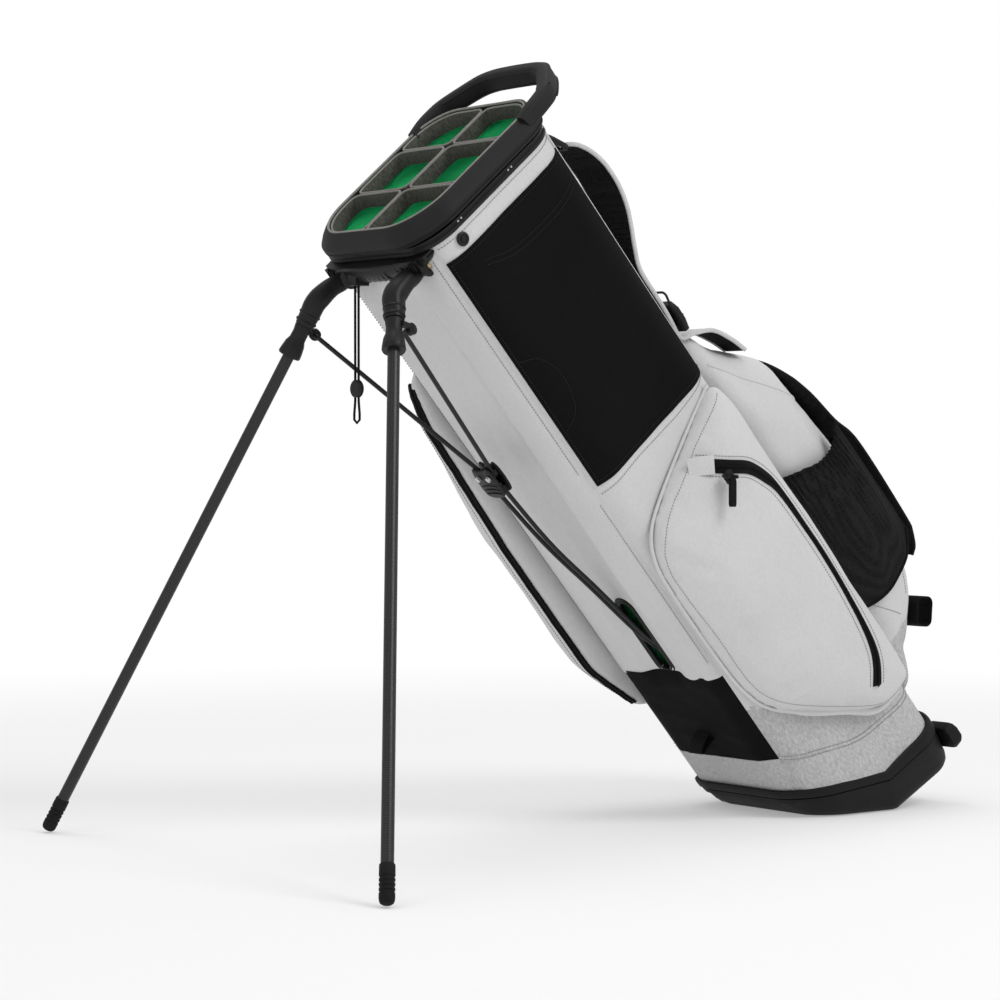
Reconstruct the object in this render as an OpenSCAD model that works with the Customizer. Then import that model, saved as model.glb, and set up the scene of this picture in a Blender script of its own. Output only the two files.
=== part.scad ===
// Golf stand bag, leaning on its base and two carbon legs.
// The bag is drawn upright in its own frame: x runs from the leg side (-) to the strap side (+),
// y runs from the right side (-) to the left side (+), z runs up the tube.
// in_bag() leans that frame back and puts the sole on the ground.

/* [Stance] */
// Lean of the tube from the vertical, in degrees
lean = 41; // [40:0.5:42]
// Distance from the sole's centre to the tube's axis, measured along the ground
sole_x = 62; // [58:1:66]
// Height of the tube's origin over the ground
sole_z = 8; // [8:0.5:9]

/* [Tube] */
// Leg-side face of the tube
tube_front = -102; // [-104:1:-101]
// Strap-side face of the tube
tube_back = 100; // [98:1:102]
// Half of the tube's width
tube_half = 97; // [95:1:98]
// Height where the fabric ends under the collar
tube_top = 848; // [846:1:850]
// Wall of the foam-backed fabric
wall = 3; // [2:0.5:3]
// Depth of the hollow that the stay rods fold into
leg_hollow = 8; // [7:1:9]

/* [Cuff] */
// Height of the cuff's rim
cuff_top = 880; // [879.6:0.2:884]
// Half of the cuff's width
cuff_half = 101; // [100.6:0.2:103]
// Half of the club opening's width
mouth_half = 88; // [86:1:89]
// Thickness of the padded top dividers
divider_t = 5; // [4:0.5:6]

/* [Legs] */
// Radius of a carbon leg tube
leg_r = 6; // [5:0.5:6.5]
// Radius of a leg's pivot bolt
bolt_r = 3; // [2.5:0.5:3.5]
// Radius of a stay rod
rod_r = 2.4; // [2:0.2:2.6]

/* [Towel cord] */
// Diameter of the cord
cord_d = 2.5; // [2:0.5:3]

/* [Hidden] */

gap = 0.4;            // clearance between neighbouring pieces
flow = 0.06;          // radial running clearance of a pin
arc_steps = 6;        // segments of a rounded corner

function height(p) = sole_z + p[0] * sin(lean) + p[2] * cos(lean);     // over the ground
function fall(d) = -(d[0] * sin(lean) + d[2] * cos(lean)) / norm(d);    // downward share of a direction

// Joint centres and directions, in the bag's frame
pivot = [-104, 58.6, 833];               // left leg's bolt
fold_axis = [-0.4376, -0.8991, -0.0064]; // left leg's bolt direction
tube_start = [-190, 89, 808];            // left leg, end of the rod yoke
tube_dir = [-0.7899, 0.3878, -0.4750];   // left leg, towards its tip
tip_r = 5.6;                             // radius of a leg tip's end
leg_length = (height(tube_start) - tip_r * sqrt(1 - pow(fall(tube_dir), 2))) / fall(tube_dir);
yoke_eye = [-161.7, 83.5, 804.2];        // left leg, where the stay rod hooks on
clip_eye = [-137, 9, 598];               // left rivet of the spreader clip
clip_axis = [-0.9922, -0.0396, -0.1182]; // direction of that rivet
base_hinge = [88, 0, 52];
rod_anchor = [-80, 0, 118];
cord_top = [-571, 33, 556];              // where the towel cord leaves the hub, over the ground

// Height of the ground under the leaning bag, in the bag's frame
function ground(x) = -(sole_z + x * sin(lean)) / cos(lean);
sole_knee = -8;       // where the sole turns from its standing face to its leaning face
heel_drop = 26;       // fall of the standing face towards the heel
heel_tilt = atan2(heel_drop, 112 - sole_knee);

// Profile lines across the tube, as [x, z], strap side first
sole_line = [[112, -6], [98, ground(sole_knee) - heel_drop * 0.88], [sole_knee, ground(sole_knee)],
    [-92, ground(-92)], [-112, 108]];
seam_line = [[112, 16], [0, 36], [-112, 112]];
rim_line = [[112, 34], [0, 48], [-112, 124]];
hem_line = [[112, 68], [60, 76], [20, 88], [-30, 113], [-112, 163]];
skirt_line = [[112, 82], [60, 84], [20, 94], [-30, 119], [-112, 169]];
liner_line = [[112, 122], [60, 122], [0, 100], [-112, 158]];
liner_inset = 11;

module in_bag() translate([sole_x, 0, sole_z]) rotate([0, -lean, 0]) children();

// ---------- outlines ----------
function corner(cx, cy, r, a) = [for (i = [0:arc_steps])
    [cx + r * cos(a + 90 * i / arc_steps), cy + r * sin(a + 90 * i / arc_steps)]];
// Closed outline of a rounded rectangle from x0 to x1, with a hollow in the x0 side
function outline(x0, x1, half, rf, rb, hollow = 0) = concat(
    corner(x1 - rb, half - rb, rb, 0), corner(x0 + rf, half - rf, rf, 90),
    hollow == 0 ? [] : [for (y = [40, 34, 28, 21, 15, -15, -21, -28, -34, -40])
        [x0 + hollow * (1 + cos(180 * (abs(y) - 15) / 25)) / 2, y]],
    corner(x0 + rf, rf - half, rf, 180), corner(x1 - rb, rb - half, rb, 270));
function tube_outline(inset, hollow = 0) = outline(tube_front + inset, tube_back - inset,
    tube_half - inset, 38 - inset, 42 - inset, hollow);
function cuff_outline(grow) = outline(-111 - grow, 110 + grow, cuff_half + grow, 54, 50);
function mouth_outline(inset) = outline(-97 + inset, 104 - inset, mouth_half - inset, 50 - inset,
    42 - inset);

module tube_wall(outer, inner, z0, z1, hollow = 0) translate([0, 0, z0])
    linear_extrude(z1 - z0) difference() {
        polygon(tube_outline(outer, hollow));
        polygon(tube_outline(inner, hollow));
    }
// Everything above a profile line, up to z = top
module above(line, top) rotate([90, 0, 0]) translate([0, 0, -200]) linear_extrude(400)
    polygon(concat(line, [[-112, top], [112, top]]));
// Slab between two profile lines
module between(low, high) rotate([90, 0, 0]) translate([0, 0, -200]) linear_extrude(400)
    polygon(concat(low, [for (i = [len(high) - 1:-1:0]) high[i]]));
module box(low, high) translate(low) cube(high - low);

// ---------- bars ----------
module aim(d) rotate([0, acos(d[2] / norm(d)), atan2(d[1], d[0])]) children();
module bar(a, b, r) translate(a) aim(b - a) cylinder(h = norm(b - a), r = r, $fn = 32);
module left_or_right(side) mirror([0, side < 0 ? 1 : 0, 0]) children();

// ---------- fabric tube ----------
module front_panel() color("#cbcbcb") in_bag() intersection() {
    difference() {
        union() {
            tube_wall(0, wall, 281, 790, leg_hollow);
            tube_wall(0, wall, 790, tube_top);
        }
        guide_place() translate([0, 0, -20]) slot(12.9, 40);
        box([-120, -hub_half - 0.6, 812], [-80, hub_half + 0.6, 900]);
    }
    box([-130, -120, 0], [-60, 120, 900]);
}
module lower_gusset() color("#1c1c1c") in_bag() intersection() {
    tube_wall(0, 2, 100, 280.6);
    box([-130, -120, 0], [-60, 120, 900]);
    above(skirt_line, 300);
}
module spine_panel() color("#cbcbcb") in_bag() intersection() {
    tube_wall(0, wall, 60, tube_top);
    box([60, -120, 0], [130, 120, 900]);
    above(skirt_line, 900);
}
module side_panel(side) in_bag() left_or_right(side) intersection() {
    tube_wall(0, wall, 60, tube_top);
    box([-60 + gap, 10, 0], [60 - gap, 120, 900]);
    above(skirt_line, 900);
}
module side_panel_right() color("#cbcbcb") side_panel(-1);
module side_panel_left() color("#cbcbcb") side_panel(1);
module upper_pocket_right() color("#1a1a1a") in_bag()
    box([-60, -tube_half - 2.6, 545], [56, -tube_half - gap, 830]);

// ---------- pockets ----------
// Closed pocket: a base outline at y0 that draws in to a smaller face at y1
module pouch(points, y0, y1, shrink) {
    middle = [for (k = [0:1]) (max([for (p = points) p[k]]) + min([for (p = points) p[k]])) / 2];
    face = [for (p = points) middle + (p - middle) * shrink];
    hull() {
        translate([0, y0, 0]) rotate([90, 0, 0]) linear_extrude(0.5) polygon(points);
        translate([0, (y0 + y1) / 2, 0]) rotate([90, 0, 0]) linear_extrude(0.5)
            polygon([for (p = points) middle + (p - middle) * (0.3 + 0.7 * shrink)]);
        translate([0, y1 + 0.5, 0]) rotate([90, 0, 0]) linear_extrude(0.5) polygon(face);
    }
}
side_pocket_edge = [[64, 526], [-47, 478], [-84, 455], [-94, 410], [-96, 330], [-92, 262],
    [-74, 214], [-20, 158], [44, 104], [84, 110], [92, 170], [92, 400], [84, 470]];
module side_pocket_right() color("#c8c8c8") in_bag()
    pouch(side_pocket_edge, -tube_half - gap, -136, 0.86);
zip_route = [[0, 470], [44, 448], [66, 402], [70, 352], [64, 294], [62, 229], [52, 184], [24, 146]];
function normal_at(line, i) = let (a = line[max(i - 1, 0)], b = line[min(i + 1, len(line) - 1)],
    d = (b - a) / norm(b - a)) [-d[1], d[0]];
function ribbon(line, w) = concat([for (i = [0:len(line) - 1]) line[i] + normal_at(line, i) * w / 2],
    [for (i = [len(line) - 1:-1:0]) line[i] - normal_at(line, i) * w / 2]);
module side_zip_right() color("#171717") in_bag() translate([0, -136.4, 0]) rotate([90, 0, 0])
    linear_extrude(1.6) polygon(ribbon(zip_route, 8));
zip_stop = [12, -138.4, 464];
pull_pivot = [sole_x + 12 * cos(lean) - 464 * sin(lean), -146.4, sole_z + 12 * sin(lean) + 464 * cos(lean)];
module zip_slider() color("#202020") {
    in_bag() translate(zip_stop) rotate([90, 0, 0]) difference() {
        translate([-5, -6, 0]) cube([10, 12, 5]);
        translate([-6, -1.6, 1.2]) cube([12, 3.2, 2.4]);
    }
    translate(pull_pivot) {
        for (x = [-6.4, 4.8]) translate([x, -1.8, -1.8]) cube([1.6, 5.2, 3.6]);
        rotate([0, 90, 0]) cylinder(h = 11, r = 1, center = true, $fn = 24);
    }
}
module zip_pull() color("#191919") translate(pull_pivot) difference() {
    union() {
        translate([-4, -1.2, -30]) cube([8, 2.4, 30]);
        rotate([0, 90, 0]) cylinder(h = 8, r = 2.2, center = true, $fn = 32);
    }
    rotate([0, 90, 0]) cylinder(h = 20, r = 1 + flow, center = true, $fn = 32);
}
apparel_sections = [[200, 118, 106, -96], [300, 144, 138, -128], [480, 146, 140, -126],
    [640, 134, 128, -116], [704, 112, 104, -104]];
module apparel_pocket_left() color("#c4c4c4") in_bag() difference() {
    hull() for (s = apparel_sections) translate([0, 0, s[0]]) linear_extrude(0.5)
        polygon([[84, 92], [82, s[1]], [-30, s[1]], [s[3] + 12, s[2]], [s[3], s[2] - 16], [s[3], 88],
            [-90, 84]]);
    translate([0, 0, 100]) linear_extrude(700) polygon(tube_outline(-gap));
    box([-150, 60, 100], [-98, 87, 800]);
}
apparel_zip_route = [[88, 690], [90, 600], [91, 480], [90, 360], [88, 270], [84, 215]];
module apparel_zip_left() color("#191919") in_bag() translate([-106.4, 0, 0])
    rotate([90, 0, 90]) linear_extrude(1.6)
    polygon([for (p = ribbon(apparel_zip_route, 10)) [p[0] - 10, p[1]]]);
pouch_profile = [[tube_back + gap, 556], [188, 476], [205, 405], [214, 330], [220, 205], [206, 160],
    [190, 135], [164, 109], [146, 94], [tube_back + gap, 88]];
module rear_pouch() color("#c6c6c6") in_bag() rotate([90, 0, 0]) translate([0, 0, -72])
    linear_extrude(144) polygon(pouch_profile);
module mesh_pocket() color("#161616") in_bag() translate([0, -72 - gap, 0]) rotate([90, 0, 0])
    linear_extrude(22) polygon([[106, 366], [200, 344], [212, 220], [198, 172], [112, 186]]);
module hip_pad() color("#141414") in_bag() rotate([90, 0, 0]) translate([0, 0, -60])
    linear_extrude(120) polygon([[206 + gap, 412], [215 + gap, 330], [221 + gap, 205],
        [214 + gap, 176], [226, 160], [238, 190], [236, 330], [222, 408]]);
module rear_loop() color("#131313") in_bag() translate([180, -48, 116]) rotate([90, -45, 0])
    translate([0, 0, -12]) linear_extrude(24) difference() {
        translate([-18, -20]) square([36, 26]);
        translate([-14.5, -16.5]) square([29, 19]);
    }
module front_tab() color("#151515") in_bag() box([-128, -12, 190], [-102 - gap, 12, 194]);

// ---------- top ----------
module collar_band() color("#101010") in_bag() tube_wall(-3, wall, tube_top + gap, 858);
module cuff_ring() color("#282828") in_bag() difference() {
    hull() {
        translate([0, 0, 858 + gap]) linear_extrude(8) polygon(cuff_outline(0));
        translate([0, 0, cuff_top - 0.5]) linear_extrude(0.5) polygon(mouth_outline(-3.5));
    }
    translate([0, 0, 850]) linear_extrude(60) polygon(mouth_outline(0));
}
module lift_handle() color("#262626") in_bag() translate([0, 0, 866]) linear_extrude(22) difference() {
    polygon([[88, -99], [112, -96], [150, -64], [164, -46], [164, 46], [150, 64], [112, 96], [88, 99]]);
    polygon([[88, -80], [108, -76], [136, -52], [148, -40], [148, 40], [136, 52], [108, 76], [88, 80]]);
    polygon(cuff_outline(gap));
}
divider_rows = [-29, 42];
module divider_plan(t) {
    translate([-110, -t / 2]) square([230, t]);
    for (x = divider_rows) translate([x - t / 2, -110]) square([t, 220]);
}
module divider_top() color("#514e49") in_bag() {
    translate([0, 0, 858 + 2 * gap]) linear_extrude(20) difference() {
        polygon(mouth_outline(gap));
        polygon(mouth_outline(4));
    }
    translate([0, 0, 858 + 2 * gap]) linear_extrude(17) intersection() {
        polygon(mouth_outline(3.5));
        divider_plan(divider_t);
    }
    translate([0, 0, tube_top]) linear_extrude(12) intersection() {
        polygon(tube_outline(wall + gap));
        polygon(mouth_outline(3.5));
        divider_plan(divider_t);
    }
}
module rod_channel() box([-120, -14, 0], [-66, 14, 412]);
module divider_sheets() color("#1a864c") in_bag() difference() {
    intersection() {
        translate([0, 0, 60]) linear_extrude(tube_top - 2 - 60) intersection() {
            polygon(tube_outline(liner_inset + 1.6, leg_hollow));
            divider_plan(1.6);
        }
        above(liner_line, 900);
    }
    rod_channel();
}
module liner_sleeve() color("#1a864c") in_bag() difference() {
    intersection() {
        tube_wall(liner_inset, liner_inset + 1.2, 60, tube_top - 2, leg_hollow);
        above(liner_line, 900);
    }
    rod_channel();
}

// ---------- stiffeners and base hinge ----------
module spine_stay() color("#3a3a3a") in_bag()
    box([tube_back - 6.6, -12, 118], [tube_back - wall - gap, 12, tube_top - 4]);
module side_stays() color("#3a3a3a") in_bag() for (s = [-1, 1]) left_or_right(s)
    box([-44, tube_half - 6.6, 150], [-30, tube_half - wall - gap, tube_top - 4]);
module base_hinge_pin() color("#9a9a9a") in_bag() translate(base_hinge) rotate([90, 0, 0])
    cylinder(h = 120, r = 3, center = true, $fn = 48);
module base_hinge_bracket() color("#2a2a2a") in_bag() {
    for (y = [-30, 30]) difference() {
        union() {
            translate(base_hinge + [0, y, 0]) rotate([90, 0, 0])
                cylinder(h = 6, r = 7, center = true, $fn = 48);
            box([83, y - 3, 52], [93, y + 3, 114]);
        }
        translate(base_hinge + [0, y, 0]) rotate([90, 0, 0])
            cylinder(h = 20, r = 3 + flow, center = true, $fn = 48);
    }
    box([88, -33, 104], [93, 33, 117]);
}

// ---------- base ----------
function base_outline(inset) = outline(-107 + inset, 105 - inset, 98 - inset, 46 - inset,
    44 - inset);
module base_wall(outer, inner) linear_extrude(260, center = true) difference() {
    polygon(base_outline(outer));
    polygon(base_outline(inner));
}
// Bevels along the two sides of the sole, one pair for each of its two faces
module sole_bevels() for (s = [-1, 1], f = [[45, heel_tilt], [-60, lean]]) left_or_right(s)
    translate([f[0], 98, ground(sole_knee) - (f[0] - sole_knee) * tan(f[1])]) rotate([0, f[1], 0])
        rotate([45, 0, 0]) cube([150, 17, 17], center = true);
module base_cup() color("#161616") in_bag() {
    difference() {
        union() {
            intersection() {
                base_wall(0, 4);
                between(sole_line, seam_line);
            }
            intersection() {
                linear_extrude(260, center = true) polygon(base_outline(3.9));
                between(sole_line, [for (p = sole_line) p + [0, 13]]);
            }
        }
        sole_bevels();
    }
    for (y = [-46, 46]) difference() {
        union() {
            translate(base_hinge + [0, y, 0]) rotate([90, 0, 0])
                cylinder(h = 8, r = 8, center = true, $fn = 48);
            box([80, y - 4, -14], [96, y + 4, 52]);
        }
        translate(base_hinge + [0, y, 0]) rotate([90, 0, 0])
            cylinder(h = 20, r = 3 + flow, center = true, $fn = 48);
    }
    for (y = [-12, 12]) difference() {
        box([-88, y - 2, 66.5], [-72, y + 2, 125]);
        translate(rod_anchor + [0, y, 0]) rotate([90, 0, 0])
            cylinder(h = 20, r = 2.5 + flow, center = true, $fn = 48);
    }
}
module base_rim_trim() color("#0c0c0c") in_bag() intersection() {
    base_wall(-1, 4);
    between([for (p = seam_line) p + [0, gap]], rim_line);
}
module hem_band() color("#b4b4b4") in_bag() intersection() {
    base_wall(2, 5);
    between([for (p = rim_line) p + [0, gap]], hem_line);
}
module heel_bumper() color("#121212") in_bag() for (s = [-1, 1]) left_or_right(s)
    difference() {
        box([84, 58, -14], [115, 96, 15]);
        linear_extrude(260, center = true) polygon(base_outline(-gap));
    }
module rod_anchor_pin() color("#9a9a9a") in_bag() translate(rod_anchor) rotate([90, 0, 0])
    cylinder(h = 32, r = 2.5, center = true, $fn = 48);

// ---------- leg hub ----------
hub_half = 84;        // half of the hub's width
hub_low = 832;
cheek_z = [-14, 10];  // the two cheeks beside each leg's barrel, along its bolt
cheek_r = 10.5;
barrel_r = 9.5;
module fold_frame() translate(pivot) aim(fold_axis) children();
module hub_cheeks() for (z = cheek_z) {
    fold_frame() translate([0, 0, z]) cylinder(h = 4, r = cheek_r, $fn = 64);
    intersection() {
        fold_frame() translate([0, 0, z]) cylinder(h = 4, r = 26, $fn = 64);
        box([-113, 20, 833], [-94.5, 92, tube_top - gap]);
    }
}
module leg_hub() color("#1f1f1f") {
    in_bag() difference() {
        union() {
            box([-114, -38, hub_low], [-94.5, 38, tube_top - gap]);
            box([-99, -38, 814], [-94.5, 38, hub_low + 1]);
            translate([0, 0, 843]) linear_extrude(tube_top - gap - 843) intersection() {
                polygon(tube_outline(-11));
                translate([-120, -hub_half]) square([26, 2 * hub_half]);
            }
            for (s = [-1, 1]) left_or_right(s) hub_cheeks();
            for (y = [-18:9:18]) box([-112, y - 2, hub_low - 5], [-99, y + 2, hub_low + 1]);
        }
        for (s = [-1, 1]) left_or_right(s) fold_frame()
            cylinder(h = 60, r = bolt_r + flow, center = true, $fn = 48);
        for (y = [-18, 18]) translate([-130, y, 839]) rotate([0, 90, 0])
            cylinder(h = 60, r = 2.2 + flow, $fn = 32);
        translate([0, 0, 700]) linear_extrude(200) polygon(tube_outline(liner_inset - gap));
    }
    translate(cord_top + [-6, -7, 0]) cube([16, 14, 15]);
}
module pivot_bolts() color("#b9b9b4") in_bag() for (s = [-1, 1]) left_or_right(s) fold_frame() {
    cylinder(h = 29, r = bolt_r, center = true, $fn = 48);
    translate([0, 0, 14.4]) cylinder(h = 3, r = 4.6, $fn = 48);
    translate([0, 0, -17.4]) cylinder(h = 3, r = 5, $fn = 6);
}
module hub_screws() color("#8d8d8d") in_bag() for (y = [-18, 18]) translate([-114, y, 839]) {
    rotate([0, -90, 0]) cylinder(h = 2, r = 4, $fn = 32);
    rotate([0, 90, 0]) cylinder(h = 18, r = 2.2, $fn = 32);
}
module snap_buttons() color("#151515") in_bag() for (s = [-1, 1]) left_or_right(s)
    translate([-62, tube_half + gap, 838]) rotate([-90, 0, 0]) {
        cylinder(h = 2, r = 6.5, $fn = 48);
        translate([0, 0, 2]) cylinder(h = 1.2, r = 3.6, $fn = 48);
    }
guide_span = 39;      // from the guide's middle to the centre of each round end
module slot(r, h) {
    translate([-guide_span, -r, 0]) cube([2 * guide_span, 2 * r, h]);
    for (x = [-guide_span, guide_span]) translate([x, 0, 0]) cylinder(h = h, r = r, $fn = 48);
}
module guide_place() translate([tube_front + leg_hollow + wall, 0, 331]) rotate([0, -90, 0]) children();
module rod_guide() color("#151515") in_bag() guide_place() difference() {
    slot(12.5, wall);
    translate([0, 0, -1]) slot(9.5, wall + 2);
}

// ---------- legs ----------
function along_leg(s) = tube_start + tube_dir * s;
module elbow(side) color("#232323") in_bag() left_or_right(side) difference() {
    union() {
        fold_frame() translate([0, 0, -9.5]) cylinder(h = 19, r = barrel_r, $fn = 64);
        bar(pivot - fold_axis * 1.5, along_leg(-56), 8);
        translate(along_leg(-56)) sphere(r = 10, $fn = 48);
        bar(along_leg(-56), along_leg(-28), 10);
    }
    fold_frame() cylinder(h = 40, r = bolt_r + flow, center = true, $fn = 48);
    bar(along_leg(-50), along_leg(-20), leg_r + flow);
}
module leg_tube(side) color("#3f3f3e") in_bag() left_or_right(side) difference() {
    bar(along_leg(-49.5), along_leg(leg_length - 12), leg_r);
    bar(along_leg(-51), along_leg(leg_length), leg_r - 1.2);
}
module leg_tip(side) color("#2b2b2b") in_bag() left_or_right(side) difference() {
    union() {
        bar(along_leg(leg_length - 36), along_leg(leg_length - 4), 7);
        translate(along_leg(leg_length - 5)) aim(tube_dir) cylinder(h = 5, r1 = 7, r2 = tip_r, $fn = 32);
    }
    bar(along_leg(leg_length - 40), along_leg(leg_length - 11.6), leg_r + flow);
}
eye_to_leg = [-7.2, 3.4, 14.65];         // from the rod's eye, square to the bolt, to the leg
module rod_yoke(side) color("#1d1d1d") in_bag() left_or_right(side) difference() {
    union() {
        bar(along_leg(-27.6), along_leg(5), 8.4);
        bar(along_leg(-8), along_leg(5), 10.4);
        translate(yoke_eye) aim(fold_axis) cylinder(h = 7, r = 6, center = true, $fn = 48);
        bar(yoke_eye, yoke_eye + eye_to_leg, 3.5);
    }
    bar(along_leg(-40), along_leg(30), leg_r + flow);
    translate(yoke_eye) aim(fold_axis) cylinder(h = 20, r = 2.8, center = true, $fn = 48);
}
module elbow_left() elbow(1);
module elbow_right() elbow(-1);
module leg_tube_left() leg_tube(1);
module leg_tube_right() leg_tube(-1);
module leg_tip_left() leg_tip(1);
module leg_tip_right() leg_tip(-1);
module rod_yoke_left() rod_yoke(1);
module rod_yoke_right() rod_yoke(-1);

// ---------- stay rods ----------
rod_end = yoke_eye + fold_axis * 4.4;    // stops just clear of the yoke's eye
rod_bend = yoke_eye + fold_axis * 9;
rod_start = clip_eye + (rod_bend - clip_eye) * 3.6 / norm(rod_bend - clip_eye);
module upper_rod(side) color("#1b1b1b") in_bag() left_or_right(side) difference() {
    union() {
        bar(rod_end, rod_bend, rod_r);
        translate(rod_bend) sphere(r = rod_r + 0.8, $fn = 48);
        bar(rod_bend, rod_start, rod_r);
        translate(clip_eye) aim(clip_axis) cylinder(h = 6, r = 4.8, center = true, $fn = 48);
    }
    translate(clip_eye) aim(clip_axis) cylinder(h = 12, r = 1.6 + flow, center = true, $fn = 48);
}
module upper_rod_left() upper_rod(1);
module upper_rod_right() upper_rod(-1);
lower_route = [[-137, 8, 586], [-127, 5.4, 494], [-98, 4.2, 345], [-84, 4.2, 290], [-80, 4.2, 118]];
module lower_rods() color("#1b1b1b") in_bag() difference() {
    union() {
        for (s = [-1, 1]) left_or_right(s) swept(lower_route, rod_r, 16);
        translate(rod_anchor) rotate([90, 0, 0]) cylinder(h = 17, r = 5, center = true, $fn = 48);
    }
    translate(rod_anchor) rotate([90, 0, 0]) cylinder(h = 40, r = 2.5 + flow, center = true, $fn = 48);
}
module spreader_clip() color("#202020") in_bag() difference() {
    union() {
        for (x = [4, -7]) translate([clip_eye[0] + x, -15, 572]) cube([3, 30, 36]);
        translate([clip_eye[0] - 4.5, -2, 572]) cube([9, 4, 36]);
        translate([clip_eye[0] - 4.5, -14, 572]) cube([9, 28, 10]);
    }
    for (s = [-1, 1]) left_or_right(s) {
        translate(clip_eye) aim(clip_axis) cylinder(h = 40, r = 1.6 + flow, center = true, $fn = 48);
        bar(lower_route[1], lower_route[0] * 1.02 - lower_route[1] * 0.02, rod_r + gap);
    }
}
module clip_rivets() color("#b0b0b0") in_bag() for (s = [-1, 1]) left_or_right(s)
    translate(clip_eye) aim(clip_axis) {
        cylinder(h = 17, r = 1.6, center = true, $fn = 48);
        translate([0, 0, 8.5]) cylinder(h = 1.4, r = 3, $fn = 48);
    }

// ---------- straps ----------
strap_upper = [[tube_back + 4, 806], [125, 799], [136, 785], [141, 763], [140, 741], [135, 721],
    [126, 702], [115, 684], [tube_back + 4, 664], [tube_back + 4, 566]];
strap_lower = [[tube_back + 4, 566], [126, 560], [150, 545], [163, 522], [172, 500]];
module strap(side) in_bag() left_or_right(side) translate([0, 70, 0]) rotate([90, 0, 0])
    linear_extrude(54) polygon(ribbon(concat(strap_upper,
        [for (i = [1:len(strap_lower) - 1]) strap_lower[i]]), 7));
module strap_right() color("#c2c2c2") strap(-1);
module strap_left() color("#c2c2c2") strap(1);
module strap_locks() color("#141414") in_bag() for (s = [-1, 1]) left_or_right(s)
    difference() {
        box([tube_back + gap, 20, 811], [tube_back + 9, 66, 836]);
        for (z = [816, 826]) box([tube_back - 1, 26, z], [tube_back + 12, 60, z + 4]);
    }
module strap_buckles() color("#171717") in_bag() for (s = [-1, 1]) left_or_right(s) {
    box([tube_back + 9, 30, 578], [tube_back + 17, 62, 612]);
    for (y = [38, 50]) box([tube_back + 10, y, 612], [tube_back + 13, y + 4, 622]);
}
module strap_webbing() color("#161616") in_bag() for (s = [-1, 1]) left_or_right(s)
    box([tube_back + gap, 34, 836.4], [tube_back + 2.4, 54, 847]);

// ---------- towel cord ----------
// Centreline of the hanging loop, measured from cord_top: down one strand and up the other
cord_route = [[0, -3, 0], [0, -3, -20], [0, -3, -50], [0, -3, -80], [0, -3, -112], [0, -3.6, -119],
    [0, -4.6, -126], [0, -5, -131], [0, -4.6, -133], [0, -3.5, -134.5], [0, -1.9, -135.6],
    [0, 0, -136], [0, 1.9, -135.6], [0, 3.5, -134.5], [0, 4.6, -133], [0, 5, -131],
    [0, 4.6, -126], [0, 3.6, -119], [0, 3, -112], [0, 3, -80], [0, 3, -50], [0, 3, -20], [0, 3, 0]];
lock_drop = 102;      // from cord_top down to the middle of the cord lock
function unit(v) = v / norm(v);
function heading(p, i) = unit(p[min(i + 1, len(p) - 1)] - p[max(i - 1, 0)]);
// Round tube of radius r along the points p; its two ends are square to side and up
module swept(p, r, sides) {
    rings = [for (i = [0:len(p) - 1]) let (h = heading(p, i), b = unit(cross(h, [1, 0.02, 0.3])),
        c = cross(h, b)) for (k = [0:sides - 1]) let (a = 360 * k / sides)
        p[i] + r * (cos(a) * b + sin(a) * c)];
    last = (len(p) - 1) * sides;
    polyhedron(rings, concat([[for (k = [0:sides - 1]) k]],
        [for (i = [0:len(p) - 2]) for (k = [0:sides - 1]) let (n = (k + 1) % sides)
            [i * sides + k, (i + 1) * sides + k, (i + 1) * sides + n, i * sides + n]],
        [[for (k = [sides - 1:-1:0]) last + k]]));
}
module towel_cord() color("#1a1a1a") translate(cord_top) swept(cord_route, cord_d / 2, 8);
module cord_lock() color("#181818") translate(cord_top - [0, 0, lock_drop]) difference() {
    rotate([0, 90, 0]) cylinder(h = 6, r = 9, center = true, $fn = 48);
    for (y = [-3, 3]) translate([0, y, 0]) cylinder(h = 30, r = cord_d / 2 + 0.5, center = true, $fn = 32);
}

front_panel();
lower_gusset();
spine_panel();
side_panel_right();
side_panel_left();
upper_pocket_right();
apparel_pocket_left();
apparel_zip_left();
side_pocket_right();
side_zip_right();
zip_slider();
zip_pull();
rear_pouch();
mesh_pocket();
hip_pad();
rear_loop();
front_tab();
collar_band();
cuff_ring();
lift_handle();
divider_top();
divider_sheets();
liner_sleeve();
spine_stay();
side_stays();
leg_hub();
pivot_bolts();
hub_screws();
snap_buttons();
rod_guide();
strap_right();
strap_left();
strap_locks();
strap_buckles();
strap_webbing();
towel_cord();
cord_lock();
base_hinge_pin();
base_hinge_bracket();
base_cup();
base_rim_trim();
hem_band();
heel_bumper();
rod_anchor_pin();
elbow_left();
leg_tube_left();
leg_tip_left();
rod_yoke_left();
elbow_right();
leg_tube_right();
leg_tip_right();
rod_yoke_right();
lower_rods();
spreader_clip();
clip_rivets();
upper_rod_left();
upper_rod_right();
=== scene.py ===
import math
import bmesh
import bpy
import numpy as np
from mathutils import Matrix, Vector, noise
from mathutils.bvhtree import BVHTree


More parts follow.
